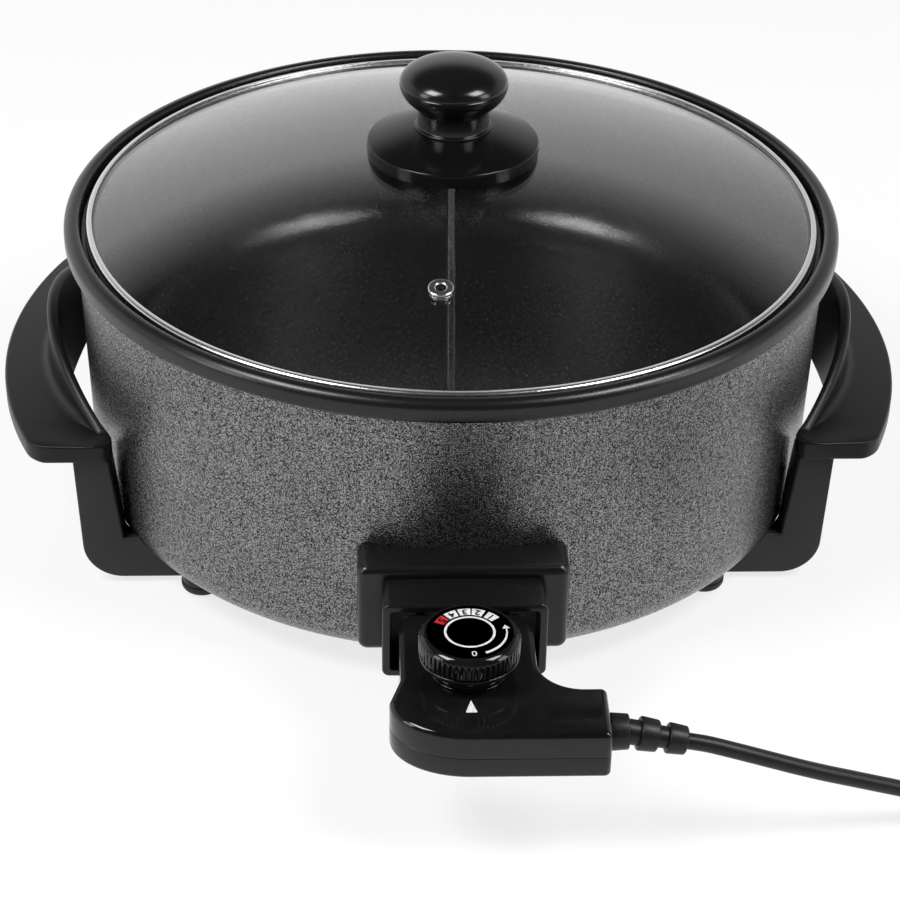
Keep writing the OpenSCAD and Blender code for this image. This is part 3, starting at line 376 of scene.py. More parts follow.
leadPath = smoothRoute(lead["route"], 5)
leadPath += [coilPoint(i / 48) for i in range(int(lead["turns"] * 48) + 1)]
leadEnd = leadPath[-1]
leadPath += [leadEnd + Vector((0, lead["leadOut"] * s / 6, 0)) for s in range(1, 7)]
leadCurve = bpy.data.curves.new("mainsLead", "CURVE")
leadCurve.dimensions = "3D"
leadCurve.bevel_depth = lead["thick"] / 2
leadCurve.bevel_resolution = 5
leadCurve.use_fill_caps = True
leadLine = leadCurve.splines.new("POLY")
leadLine.points.add(len(leadPath) - 1)
for point, at in zip(leadLine.points, leadPath):
    point.co = (*at, 1.0)
leadLine.use_smooth = True
mainsLead = bpy.data.objects.new("mainsLead", leadCurve)
leadCurve.materials.append(cordSheath)
scene.collection.objects.link(mainsLead)
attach(mainsLead, "thermostat")
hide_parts("cord", "cord_coil")

plug = {
    "at": (leadEnd.x / mm, (leadEnd.y + lead["leadOut"]) / mm, leadEnd.z / mm),
    "rings": ((0.0, 11.5, 11.5, 5.7), (1.2, 12.6, 12.6, 6.2), (6.0, 14.0, 13.6, 6.6), (11.0, 30.0, 22.0, 7.0),
              (14.0, 35.0, 25.4, 6.0), (18.0, 36.0, 26.0, 5.0), (41.0, 36.0, 26.0, 5.0), (44.2, 34.6, 24.6, 4.6),
              (45.0, 32.6, 22.6, 4.0)),  # how far along, then width, thickness and corner
}
tie = {"wide": 6.0, "thick": 0.9, "near": 28.75, "far": 49.0, "clear": 4.05, "corner": 2.5, "innerCorner": 1.7}


def plugShell():
    px, py, pz = plug["at"]
    rings = []
    for along, wide, thick, corner in plug["rings"]:
        rings.append([(px + x, py + along, pz + z) for x, z in roundBox(wide, thick, corner)])
    return dress(asObject(loft(rings), "plugShell"), matteBlack, "thermostat", "plug_body")


def leadTie():
    wide, thick, near, far = tie["wide"], tie["thick"], tie["near"], tie["far"]
    low, high = lead["low"] / mm - tie["clear"], (lead["low"] + lead["pitch"]) / mm + tie["clear"]
    cx, cy = lead["coilAt"][0] / mm, lead["coilAt"][1] / mm
    midY, midZ = cy + (near + far) / 2, (low + high) / 2
    around = roundBox(far - near + 2 * thick, high - low + 2 * thick, tie["corner"])
    within = roundBox(far - near, high - low, tie["innerCorner"])
    outer, inner = ([(midY + y, midZ + z) for y, z in line] for line in (around, within))
    stand = Matrix(((0, 0, 1), (1, 0, 0), (0, 1, 0)))
    band, hollow = slab(outer, cx - wide / 2, cx + wide / 2, 0.2, 0.2, 2), slab(inner, cx - wide, cx + wide)
    for bm in (band, hollow):
        bmesh.ops.transform(bm, verts=bm.verts[:], matrix=stand.to_4x4())
    return dress(carve(asObject(band, "leadTie"), hollow), cordSheath, "thermostat", "cord_tie")


plugPiece, tiePiece = plugShell(), leadTie()

# outer body and pan
body = {"low": 12.0, "top": 158.0, "topR": 194.0, "draft": 3.5, "edge": 23.0, "wall": 1.5, "play": 0.3}


def wallAt(z):
    return body["topR"] - body["draft"] * (body["top"] - z) / (body["top"] - body["low"])


def bodyLine(grow, low, edge):
    bottom = [(0.0, low)] + roundCorner(wallAt(low + edge) + grow, low, edge, -90, 0, 20)
    return bottom + [(body["topR"] + grow, body["top"])]


def bodySolid():  # the space that the body fills, with some play, for what is cut to lie against it
    line = bodyLine(body["play"], body["low"], body["edge"])
    return shift(lathe(line + [(0.0, body["top"])], closed=False), y=panY)


def outerBody():
    inner = bodyLine(-body["wall"], body["low"] + body["wall"], body["edge"] - body["wall"])
    bm = shift(lathe(bodyLine(0.0, body["low"], body["edge"]) + inner[::-1], closed=False), y=panY)
    return dress(asObject(bm, "outerBody"), hammerPaint, "skillet", "outer_body")


outerBody()

pan = {"floor": 65.0, "under": 61.0, "innerR": 183.0, "outerR": 186.0, "corner": 30.0, "ledge": 160.5,
       "ledgeRound": 1.5, "rimIn": 192.0, "rimInRound": 2.6, "rimOut": 200.0, "rimOutRound": 4.9, "rimTop": 169.0,
       "skirtRound": 2.0, "collarR": 191.8, "collarLow": 156.5,
       "heelTop": 96.0, "heelMid": 95.0, "heelWide": 33.0, "heelDeep": 34.0}
divider = {"wide": 4.0, "top": 155.0, "turn": -2.0, "half": 184.0, "edge": 1.2, "sunk": 2.0, "reach": 1.5}


def castPan():
    p = pan
    inCorner = p["innerR"] - p["corner"]
    line = [(0.0, p["floor"])] + roundCorner(p["innerR"], p["floor"], p["corner"], -90, 0, 16)
    line += roundCorner(p["innerR"], p["ledge"], p["ledgeRound"], 180, 90, 5)
    line += roundCorner(p["rimIn"], p["ledge"], p["ledgeRound"], -90, 0, 4)
    line += roundCorner(p["rimIn"], p["rimTop"], p["rimInRound"], 180, 90, 7)
    line += roundCorner(p["rimOut"], p["rimTop"], p["rimOutRound"], 90, 0, 12)
    line += roundCorner(p["rimOut"], body["top"], p["skirtRound"], 0, -90, 6)
    line += [(p["collarR"], body["top"]), (p["collarR"], p["collarLow"])]
    line += [(p["outerR"], p["collarLow"]), (p["outerR"], p["heelTop"])]
    for a in (math.radians(d) for d in range(6, 91, 6)):
        line.append((inCorner + p["heelWide"] * math.cos(a), p["heelMid"] - p["heelDeep"] * math.sin(a)))
    line += [(0.0, p["under"])]
    piece = asObject(shift(lathe(line, 192, closed=False), y=panY), "castPan")
    half, low, edge, reach = divider["wide"] / 2, p["floor"] - divider["sunk"], divider["edge"], divider["reach"]
    fence = [(-half, low), (half, low)] + roundCorner(half, divider["top"], edge, 0, 90, 4)
    fence += roundCorner(-half, divider["top"], edge, 90, 180, 4)
    wall = turnForward(slab(fence, -divider["half"], divider["half"]))
    turn = Matrix.Rotation(math.radians(divider["turn"]), 3, "Z")
    bmesh.ops.rotate(wall, verts=wall.verts[:], cent=(0, 0, 0), matrix=turn)
    shift(wall, y=panY)
    above = p["rimTop"] + 1.0
    inside = [(0.0, low)] + arcPoints(inCorner, p["heelMid"], p["corner"] + reach, -90, 0, 16)
    inside += [(p["innerR"] + reach, above), (0.0, above)]
    trimmed = carve(asObject(wall, "divider"), shift(lathe(inside, closed=False), y=panY), "INTERSECT")
    bm = bmesh.new()
    bm.from_mesh(trimmed.data)
    bpy.data.objects.remove(trimmed)
    carve(piece, bm, "UNION")
    return dress(piece, nonstickCoat, "skillet", "pan")


castPan()
print("outer body and pan turned")

# lid
lid = {"ledge": 160.5, "glassR": 187.0, "glassT": 4.0, "edge": 165.98, "top": 200.48,
       "domeR": 524.05, "ventAt": 123.5, "ventTurn": -94.5, "ventHole": 4.05, "screwHole": 3.2}
edgeRing = {"r": 189.0, "wide": 3.4, "over": 1.5, "lowRound": 1.6, "topRound": 1.7, "lipRound": 0.35,
            "lip": 0.65, "play": 0.1, "shelf": 1.1}
eyelet = {"bore": 2.6, "neckR": 4.0, "footR": 5.8, "footLow": -5.5, "footTop": -4.2, "headR": 6.2, "headLow": 0.1,
          "bead": 0.8}
knob = {"plateR": 44.0, "plateEdge": 205.48, "plateRound": 1.4, "plateGap": 0.15, "foot": 212.78, "footR": 19.8,
        "footH": 1.2, "footLowRound": 0.4, "footTopRound": 0.5, "neckR": 18.3, "neckRound": 0.7, "bend": 1.6,
        "headR": 27.6, "headZ": 236.71, "headLow": 17.0, "headHigh": 11.8, "seam": 0.35}


def domeAt(r, inward=0.0):
    return lid["top"] - lid["domeR"] + math.sqrt((lid["domeR"] - inward) ** 2 - r * r)


def ventPlace():
    tilt = math.asin(lid["ventAt"] / lid["domeR"])
    middle = Matrix.Translation((0, panY * mm, (lid["top"] - lid["domeR"]) * mm))
    turn = Matrix.Rotation(math.radians(lid["ventTurn"]), 4, "Z")
    return middle @ turn @ Matrix.Rotation(tilt, 4, "Y") @ Matrix.Translation((0, 0, lid["domeR"] * mm))


def glassDome():
    outer = [(lid["glassR"] * i / 40, domeAt(lid["glassR"] * i / 40)) for i in range(41)]
    inner = [(lid["glassR"] * i / 40, domeAt(lid["glassR"] * i / 40, lid["glassT"])) for i in range(41)]
    piece = asObject(shift(lathe(outer + inner[::-1], 192, closed=False), y=panY), "glassDome")
    drill = post(0.0, 0.0, lid["ventHole"], -8.0, 6.0)
    bmesh.ops.transform(drill, verts=drill.verts[:], matrix=ventPlace())
    carve(piece, drill)
    shaft = post(0.0, panY, lid["screwHole"], 188.0, 204.0)
    return dress(carve(piece, shaft), lidGlass, "lid", "lid_glass")


def lidRing():
    e, low, edge = edgeRing, lid["ledge"], lid["edge"]
    r, lip, top = e["r"], e["r"] - e["wide"], edge + e["over"]
    groove, shelf = lid["glassR"] + e["play"], low + e["shelf"]
    line = roundCorner(r, low, e["lowRound"], -90, 0, 6) + roundCorner(r, top, e["topRound"], 0, 90, 8)
    line += roundCorner(lip, top, e["lipRound"], 90, 180, 4) + [(lip, edge + e["lip"])]
    line += [(groove, edge + e["play"]), (groove, shelf), (lip, shelf), (lip, low)]
    return dress(asObject(shift(lathe(line, 192), y=panY), "lidRing"), brightSteel, "lid", "lid_ring")


def ventEyelet():
    e = eyelet
    line = [(e["bore"], e["footLow"]), (e["bore"], 0.6)] + arcPoints(3.4, 0.7, e["bead"], 180, 90, 5)
    line += [(5.0, 1.4)] + arcPoints(5.4, 0.6, e["bead"], 80, 0, 5)
    line += [(e["headR"], e["headLow"]), (e["neckR"], e["headLow"]), (e["neckR"], e["footTop"])]
    line += [(e["footR"], e["footTop"]), (e["footR"], e["footLow"])]
    bm = lathe(line, 64)
    bmesh.ops.transform(bm, verts=bm.verts[:], matrix=ventPlace())
    return dress(asObject(bm, "ventEyelet"), brightSteel, "lid", "vent_grommet")


def knobParts():
    k = knob
    z, r, foot, seam = k["foot"], k["neckR"], k["footR"], k["seam"]
    line = [(0.0, z)] + roundCorner(foot, z, k["footLowRound"], -90, 0, 4)
    line += roundCorner(foot, z + k["footH"], k["footTopRound"], 0, 90, 4)
    line += roundCorner(r, z + k["footH"], k["neckRound"], 270, 180, 4)
    join = math.acos(r / k["headR"])
    rise = [-join * (1 - i / 24) for i in range(25)]
    flare = [(k["headR"] * math.cos(a), k["headZ"] + k["headLow"] * math.sin(a)) for a in rise]
    bend = [(r, flare[0][1] - k["bend"]), flare[0], flare[2]]  # a soft turn from the neck into the head
    for t in (0.0, 0.2, 0.4, 0.6, 0.8):
        line.append(tuple((1 - t) ** 2 * a + 2 * t * (1 - t) * b + t * t * c for a, b, c in zip(*bend)))
    line += flare[2:-1]
    line += [(k["headR"], k["headZ"] - seam), (k["headR"] - seam, k["headZ"]), (k["headR"], k["headZ"] + seam)]
    for a in (math.radians(d) for d in range(4, 89, 4)):
        line.append((k["headR"] * math.cos(a), k["headZ"] + k["headHigh"] * math.sin(a)))
    line += [(0.0, k["headZ"] + k["headHigh"])]
    dress(asObject(shift(lathe(line, 128, closed=False), y=panY), "lidKnob"), knobBlack, "lid", "knob", sharp=30.0)
    hole, q = lid["screwHole"], k["plateRound"]
    radii = [hole + (k["plateR"] - hole) * i / 12 for i in range(13)]
    under = [(at, domeAt(at) + k["plateGap"]) for at in radii]
    slope = math.degrees(math.atan2(z - k["plateEdge"], k["plateR"] - foot))
    rim = arcPoints(k["plateR"] - q, k["plateEdge"] - q * 0.75, q, 0, 90 - slope, 6)
    plate = lathe(under + rim + [(foot, z), (hole, z)], 128)
    dress(asObject(shift(plate, y=panY), "knobPlate"), plateBlack, "lid", "knob_plate")


glassDome()
lidRing()
ventEyelet()
knobParts()
print("lid turned")

# handles, legs and feet
grip = {"low": 75.0, "top": 85.0, "half": 103.0, "soft": 1.5, "edge": 1.6, "cove": 6.0, "web": 2.0,
        "bowR": 236.0, "bowEnd": 93.97, "endR": 15.0, "endX": 202.72, "endY": 88.0,
        "guardR": 144.0, "guardX": 62.5, "guardEnd": 90.0, "tipR": 8.0, "tipX": 181.16, "tipY": 95.0,
        "guardT": 6.0, "guardH": 32.0, "crest": 91.0, "apronH": 25.0, "apronHalf": 78.0}


def gripSection(y):  # the flange with its guard, which stands up from it and hangs below it
    g, a = grip, abs(y)
    if a <= g["bowEnd"]:
        outer = math.sqrt(g["bowR"] ** 2 - a * a)
    else:
        outer = g["endX"] + math.sqrt(max(0.0, g["endR"] ** 2 - (a - g["endY"]) ** 2))
    if a <= g["guardEnd"]:
        inner = g["guardX"] + math.sqrt(g["guardR"] ** 2 - a * a)
    else:
        inner = g["tipX"] - math.sqrt(max(0.0, g["tipR"] ** 2 - (a - g["tipY"]) ** 2))
    over = max(0.0, (a - (g["half"] - g["soft"])) / g["soft"])
    inset = g["soft"] * (1 - math.sqrt(max(0.0, 1 - over * over)))
    low, top, inner, outer, q = g["low"] + inset, g["top"] - inset, inner + inset, outer - inset, g["edge"]
    rise = max(0.06, g["guardH"] * (1 - (a / g["crest"]) ** 2))
    drop = max(0.06, g["apronH"] * (1 - (a / g["apronHalf"]) ** 2))
    half = g["guardT"] / 2
    crown, toe = min(half, rise - 0.03), min(half, drop - 0.03)
    inside, heel = max(crown, 1.2), max(toe, 1.2)
    cove, web = max(0.02, min(g["cove"], rise - crown)), max(0.02, min(g["web"], drop - toe))
    line = []
    for level, turns in ((toe, range(0, -91, -18)), (heel, range(-108, -181, -18))):
        for b in map(math.radians, turns):
            line.append((inner + half + half * math.cos(b), low - drop + level + level * math.sin(b)))
    for level, turns in ((inside, range(0, 91, 18)), (crown, range(108, 181, 18))):
        for b in map(math.radians, turns):
            line.append((inner + half - half * math.cos(b), top + rise - level + level * math.sin(b)))
    line += roundCorner(inner + 2 * half, top, cove, 180, 270, 6)
    line += roundCorner(outer, top, q, 90, 0, 4) + roundCorner(outer, low, q, 0, -90, 4)
    line += roundCorner(inner + 2 * half, low, web, 90, 180, 4)
    return [(x, y, z) for x, z in line]


def sideHandles():
    g, step = grip, 3.52  # sections lie closer together towards the rounded ends
    ends = [g["endY"] + g["endR"] * math.sin(math.radians(d)) for d in range(0, 85, 6)]
    ends += [g["half"] - g["soft"] + g["soft"] * math.sin(math.radians(d)) for d in range(0, 91, 15)]
    places = sorted({round(v, 3) for v in [step * i for i in range(25)] + ends})
    places = [-v for v in places[:0:-1]] + places
    for name, node, way in (("rightHandle", "right_handle", 1), ("leftHandle", "left_handle", -1)):
        bm = loft([gripSection(y) for y in places])
        if way < 0:
            bmesh.ops.scale(bm, verts=bm.verts[:], vec=(-1, 1, 1))
            bmesh.ops.recalc_face_normals(bm, faces=bm.faces[:])
        dress(asObject(shift(bm, y=panY), name), matteBlack, "skillet", node, sharp=50.0)


sideHandles()

leg = {"y": 91.0, "deep": 18.0, "x": 191.0, "wide": 18.0, "lean": 2.0, "low": 3.0, "barTop": 27.0, "barEnd": 170.0,
       "top": 75.0, "edge": 1.2, "corner": 20.0, "inCorner": 1.6, "tab": 111.8, "screwHole": 4.2,
       "screws": ((118.8, 6.0), (185.0, 65.0)),  # how far out, and how deep from below
       "footX": 130.0, "footY": 104.0, "footR": 11.0, "footH": 5.0, "footRound": 3.5, "padR": 10.5, "padTop": 18.0}


def legBrackets():
    g = leg
    q, outside, half = g["edge"], g["x"] + g["lean"], g["deep"] / 2
    line = [(g["tab"], g["low"])] + roundCorner(g["x"], g["low"], g["corner"], -90, 0, 14)
    line += [(outside, g["top"]), (outside - g["wide"], g["top"])]
    line += roundCorner(g["barEnd"], g["barTop"], g["inCorner"], 0, -90, 4) + [(g["tab"], g["barTop"])]
    bracket = asObject(turnForward(slab(line, g["y"] - half, g["y"] + half, q, q, 3)), "legShape")
    carve(bracket, post(g["footX"], -g["footY"], g["padR"], g["footH"], g["padTop"]), "UNION")
    carve(bracket, shift(bodySolid(), y=-panY))
    for x, deep in g["screws"]:
        carve(bracket, post(x, -g["y"], g["screwHole"], -1.0, deep))
    for side, wayX in (("right", 1), ("left", -1)):
        for end, wayY in (("front", 1), ("rear", -1)):
            bm = bmesh.new()
            bm.from_mesh(bracket.data)
            bmesh.ops.scale(bm, verts=bm.verts[:], vec=(wayX, wayY, 1))
            bmesh.ops.recalc_face_normals(bm, faces=bm.faces[:])
            piece = asObject(shift(bm, y=panY), side + end.capitalize() + "Leg")
            dress(piece, legBlackPaintedLit, "skillet", side + "_" + end + "_leg")
    bpy.data.objects.remove(bracket)


legBrackets()


def rubberFeet():
    g = leg
    line = [(0.0, 0.0)] + roundCorner(g["footR"], 0.0, g["footRound"], -90, 0, 8)
    line += [(g["footR"], g["footH"]), (0.0, g["footH"])]
    places = [(x, y + panY) for x in (-g["footX"], g["footX"]) for y in (-g["footY"], g["footY"])]
    bm = gather(shift(lathe(line, 48, closed=False), x, y) for x, y in places)
    return dress(asObject(bm, "rubberFeet"), footRubber, "skillet", "feet")


rubberFeet()
print("handles, legs and feet made")

# socket
socket = {"wide": 100.0, "low": 35.9, "high": 83.9, "back": 160.0, "front": 207.98, "corner": 5.0, "edge": 4.2,
          "shroudW": 77.0, "shroudLow": 36.9, "shroudHigh": 77.9, "shroudFront": 228.98, "shroudCorner": 3.5,
          "shroudEdge": 1.2, "wall": 3.5, "slotCorner": 2.0, "carrier": 8.0, "past": 5.0}


def socketHousing():
    s = socket
    mid = (s["low"] + s["high"]) / 2
    block = [(x, mid + z) for x, z in roundBox(s["wide"], s["high"] - s["low"], s["corner"])]
    block = slab(block, s["back"], s["front"], s["edge"], 0.0, 6)
    piece = asObject(shift(turnForward(block), y=panY), "socketHousing")
    mid, tall = (s["shroudLow"] + s["shroudHigh"]) / 2, s["shroudHigh"] - s["shroudLow"]
    shroud = [(x, mid + z) for x, z in roundBox(s["shroudW"], tall, s["shroudCorner"])]
    shroud = slab(shroud, s["front"] - s["past"], s["shroudFront"], s["shroudEdge"], 0.0, 4)
    carve(piece, shift(turnForward(shroud), y=panY), "UNION")
    slot = roundBox(s["shroudW"] - 2 * s["wall"], tall - 2 * s["wall"], s["slotCorner"])
    slot = slab([(x, mid + z) for x, z in slot], s["front"] - s["carrier"], s["shroudFront"] + s["past"])
    carve(piece, shift(turnForward(slot), y=panY))
    carve(piece, bodySolid())
    return dress(piece, socketBlack, "skillet", "socket_housing")


socketHousing()
print("socket made")

# thermostat
case = {"neckY": 225.48, "neckW": 62.0, "neckR": 8.0, "front": 315.98, "corner": 36.0, "cornerDeep": 25.5,
        "swell": 5.0, "shoulder": 16.0, "arm": 61.0, "armBack": 281.98, "armRound": 3.0, "hollow": 20.0,
        "low": 47.9, "lowRound": 2.0, "seam": 58.9, "seamRound": 0.25, "top": 71.9, "topRound": 4.0,
        "pinX": 20.0, "pinHole": 3.45, "probeZ": 56.9, "probeHole": 3.15, "earthZ": 65.9, "earthHole": 2.95,
        "holeDeep": 26.0, "dialY": 268.98, "markT": 0.12,
        "mark": ((0.0, -291.2), (-2.5, -299.2), (-2.2, -299.7), (2.2, -299.7), (2.5, -299.2))}  # points at the dial


def caseOutline():
    c = case
    n, cx, cy = c["neckW"] / 2, c["corner"] - c["neckW"] / 2 - c["swell"], c["front"] - c["cornerDeep"]
    line = roundCorner(-n, -c["neckY"], c["neckR"], 90, 180, 8) + [(-n, -cy + c["shoulder"])]
    line += [(cx + c["corner"] * x, -cy + c["cornerDeep"] * y) for x, y in arcPoints(0, 0, 1, 180, 270, 28)]
    line += roundCorner(c["arm"], -c["front"], c["armRound"], 270, 360, 6)
    line += roundCorner(c["arm"], -c["armBack"], c["armRound"], 0, 90, 6)
    line += roundCorner(n, -c["armBack"], c["hollow"], 270, 180, 18)
    return line + roundCorner(n, -c["neckY"], c["neckR"], 0, 90, 8)


def thermostatCase():
    c = case
    upper = slab(caseOutline(), c["seam"], c["top"], c["topRound"], c["seamRound"], 7)
    lower = slab(caseOutline(), c["low"], c["seam"], c["seamRound"], c["lowRound"], 5)
    upper, lower = asObject(shift(upper, y=panY), "upperCase"), asObject(shift(lower, y=panY), "lowerCase")
    holes = ((-c["pinX"], c["probeZ"], c["pinHole"]), (c["pinX"], c["probeZ"], c["pinHole"]),
             (0.0, c["probeZ"], c["probeHole"]), (0.0, c["earthZ"], c["earthHole"]))
    for piece in (upper, lower):
        for x, z, r in holes:
            hole = turnForward(post(0.0, 0.0, r, c["neckY"] - 2.0, c["neckY"] + c["holeDeep"]))
            carve(piece, shift(hole, x, panY, z))
    dress(upper, glossBlack, "thermostat", "upper_casing")
    dress(lower, glossBlack, "thermostat", "lower_casing")
    mark = shift(slab(c["mark"], c["top"], c["top"] + c["markT"]), y=panY)
    dress(asObject(mark, "pointerMark"), printWhite, "thermostat")


thermostatCase()

boot = {"start": 8.5, "tail": 6.55, "long": 35.0, "rib": 8.75, "gap": 4.375, "edge": 0.9, "sag": 12.0,
        "rootLow": -6.0, "flangeR": 7.8, "flangeTop": -2.1, "waistR": 6.0, "groove": 2.2, "sunk": -2.0, "taper": 0.1,
        "at": (61.0, -298.98, 59.9)}


def ribLine(a, base):  # one rib of the boot, from distance a, drawn from the distance called base
    start, tail, long, rib, q = boot["start"], boot["tail"], boot["long"], boot["rib"], boot["edge"]
    ra, rb = (start + (tail - start) * v / long for v in (a, a + rib))
    line = roundCorner(ra, a - base, q, -90, 0, 4) + roundCorner(rb, a - base + rib, q, 0, 90, 4)
    return line, rb - boot["groove"]


def strainRelief():
    rib, step, sunk, taper = boot["rib"], boot["rib"] + boot["gap"], boot["sunk"], boot["taper"]
    first, core = ribLine(0.0, 0.0)
    second, waist = ribLine(step, rib)
    third, _ = ribLine(2 * step, rib)
    inner, flange, rootLow, rootTop = boot["waistR"], boot["flangeR"], boot["rootLow"], boot["flangeTop"]
    root = [(0.0, rootLow), (flange, rootLow), (flange, rootTop), (inner, rootTop), (inner, 0.0)]
    fixed = lathe(root + first + [(0.0, rib)], 64, closed=False)
    tail = [(0.0, sunk), (core, sunk), (core - taper, step - rib)] + second
    tail += [(waist, step), (waist - taper, 2 * step - rib)] + third + [(0.0, 2 * step)]
    hung = lathe(tail, 64, closed=False)
    sag = Matrix.Rotation(math.radians(boot["sag"]), 3, "Y")
    bmesh.ops.rotate(hung, verts=hung.verts[:], cent=(0, 0, 0), matrix=sag)
    shift(hung, z=rib)
    x, y, z = boot["at"]
    sideways = Matrix.Rotation(math.radians(90), 3, "Y")
    for bm in (fixed, hung):
        bmesh.ops.rotate(bm, verts=bm.verts[:], cent=(0, 0, 0), matrix=sideways)
        shift(bm, x, y + panY, z)
    return dress(carve(asObject(fixed, "strainRelief"), hung, "UNION"), cordSheath, "thermostat", "strain_relief")


strainRelief()

dial = {
    "low": 82.4, "high": 92.9, "flutes": 54, "deep": 0.55, "bore": 4.1,
    "collarR": 16.2, "collarTop": 81.9, "flangeR": 22.6, "flangeLow": 79.7, "neckRound": 0.6, "flangeRound": 0.5,
    "rings": ((0.0, 21.3, 0.0), (0.0, 22.3, 1.0), (0.5, 22.8, 1.0), (7.3, 22.9, 1.0), (7.8, 22.88, 0.7),
              (8.2, 22.75, 0.25), (8.5, 22.55, 0.0), (9.1, 22.05, 0.0), (9.7, 21.45, 0.0), (10.15, 20.9, 0.0),
              (10.42, 20.45, 0.0), (10.5, 20.1, 0.0), (10.5, 19.4, 0.0)),  # height, radius and share of the flutes
}
dialFace = {
    "boxes": ((48, "1"), (74, "2"), (97, "3"), (121, "4"), (145, "5")), "near": 12.6, "far": 17.3, "half": 10.2,
    "ring": (10.4, 11.5), "arc": (16.2, 16.8, -67, 9), "taper": 0.45, "zero": ("0", 5.2, 16.1, -85), "zeroUp": 0.06,
    "tip": ((18.2, 8.0), (16.5, 18.0), (14.8, 8.0)), "thick": 0.08, "sunk": 0.02,
    "figure": 5.0, "figureUp": 0.1, "bold": 0.16,
}


def dialKnob():
    d, count = dial, dial["flutes"] * 8
    rings = []
    for z, r, flute in d["rings"]:
        ring = []
        for i in range(count):
            a = 2 * math.pi * i / count
            cut = flute * d["deep"] * (0.5 + 0.5 * math.cos(a * d["flutes"])) ** 2
            ring.append(((r - cut) * math.cos(a), (r - cut) * math.sin(a), d["low"] + z))
        rings.append(ring)
    piece = asObject(shift(loft(rings), y=panY - case["dialY"]), "dialKnob")
    return dress(piece, glossBlack, "dial_knob", "dial", sharp=40.0)


def dialCollar():
    r, low, lip, under, top = dial["collarR"], case["top"], dial["flangeR"], dial["flangeLow"], dial["collarTop"]
    neck, edge = dial["neckRound"], dial["flangeRound"]
    line = [(dial["bore"], low)] + arcPoints(r + 0.9, low + 0.8, neck, -90, 60, 4)  # a bead at the foot
    line += arcPoints(r + neck, low + 2.2, neck, 270, 180, 4) + roundCorner(r, under, neck, 180, 90, 4)
    line += roundCorner(lip, under, edge, -90, 0, 4) + roundCorner(lip, top, edge, 0, 90, 4) + [(dial["bore"], top)]
    piece = asObject(shift(lathe(line, 96), y=panY - case["dialY"]), "dialCollar")
    return dress(piece, glossBlack, "thermostat", "dial_collar")


dialKnob()
dialCollar()


def flatSector(r0, r1, a0, a1, low, taper=0.0):  # a flat arc, its start wider by the taper on either side
    count = max(3, int(abs(a1 - a0) / 4))
    line = []
    for r, way, order in ((r1, 1, range(count + 1)), (r0, -1, range(count, -1, -1))):
        for i in order:
            a, here = math.radians(a0 + (a1 - a0) * i / count), r + way * taper * (1 - i / count)
            line.append((here * math.cos(a), here * math.sin(a)))
    return slab(line, low, low + dialFace["thick"])


def onDial(shapes, name, finish):  # flat marks that turn with the dial
    return dress(asObject(shift(gather(shapes), y=panY - case["dialY"]), name), finish, "dial_knob")


def figure(text, size, r, turn, low, bold=0.0):
    letters = bpy.data.curves.new("figure", "FONT")
    letters.body, letters.size = text, size * mm
    letters.extrude, letters.offset = 0.04 * mm, bold * mm
    letters.align_x, letters.align_y = "CENTER", "CENTER"
    letters.resolution_u = 3
    holder = bpy.data.objects.new("figure", letters)
    scene.collection.objects.link(holder)
    bpy.context.view_layer.update()
    mesh = bpy.data.meshes.new_from_object(holder.evaluated_get(bpy.context.evaluated_depsgraph_get()))
    bpy.data.objects.remove(holder)
    bm = bmesh.new()
    bm.from_mesh(mesh)
    bpy.data.meshes.remove(mesh)
    a = math.radians(turn)
    place = Matrix.Translation((r * mm * math.cos(a), r * mm * math.sin(a), low * mm))
    bmesh.ops.transform(bm, verts=bm.verts[:], matrix=place @ Matrix.Rotation(a + math.pi / 2, 4, "Z"))
    return bm


def dialPrint():
    f, low = dialFace, dial["high"] - dialFace["sunk"]
    near, far, half = f["near"], f["far"], f["half"]
    cells = [flatSector(near, far, a - half, a + half, low) for a, _ in f["boxes"]]
    white = cells[:4]
    white += [flatSector(*f["ring"], a, a + 90, low) for a in (0, 90, 180, 270)]
    white += [flatSector(*f["arc"], low, f["taper"]), figure(*f["zero"], low + f["zeroUp"])]
    corners = [(r, math.radians(a)) for r, a in f["tip"]]
    tip = [(r * math.cos(a), r * math.sin(a)) for r, a in corners]
    white.append(slab(tip, low, low + f["thick"]))
    onDial(white, "dialMarks", printWhite)
    onDial(cells[4:], "dialHotMark", printRed)
    place = (f["figure"], (near + far) / 2)
    onDial([figure(t, *place, a, low + f["figureUp"], f["bold"]) for a, t in f["boxes"]], "dialFigures", glossBlack)


dialPrint()
print("thermostat and dial made")

# what stays as the CAD drew it
kept = {
    plainSteel: ["heating_element", "terminal_pins", "earth_pin", "probe_sleeve", "socket_screws", "leg_screws",
                 "leg_nuts", "handle_screws", "base_screws", "knob_screw", "probe_rod", "casing_screws", "dial_shaft"],
    contactBrass: ["contact_sleeves", "earth_contact", "bimetal_blade", "plug_pins"],
    darkPhenolic: ["pin_carrier", "switch_base"],
    cordSheath: ["lead_wires"],
    footRubber: ["knob_washer"],
}
for finish, names in kept.items():
    for name in names:
        nodes[name].data.materials.clear()
        nodes[name].data.materials.append(finish)

# floor, backdrop and lamps
stage = {
    "floor": 24.0, "under": 0.0003, "white": 0.94, "cloud": 3.0, "rough": (0.15, 0.18),
    "glow": {"Is Camera Ray": 0.76, "Is Transmission Ray": 0.76, "Is Glossy Ray": 0.85},
    "backdrop": {"Is Camera Ray": 0.78},
}
floorFinish, floorShader = newFinish("paleFloor", "", (stage["white"],) * 3, 0.16)
cloud = grainNoise(floorFinish, stage["cloud"], 2.0)
wire(floorFinish, spread(floorFinish, cloud, *noiseSpan, *stage["rough"]), floorShader.inputs["Roughness"])
glow = newNode(floorFinish, "Emission", Color=(1, 1, 1, 1), Strength=1.0)


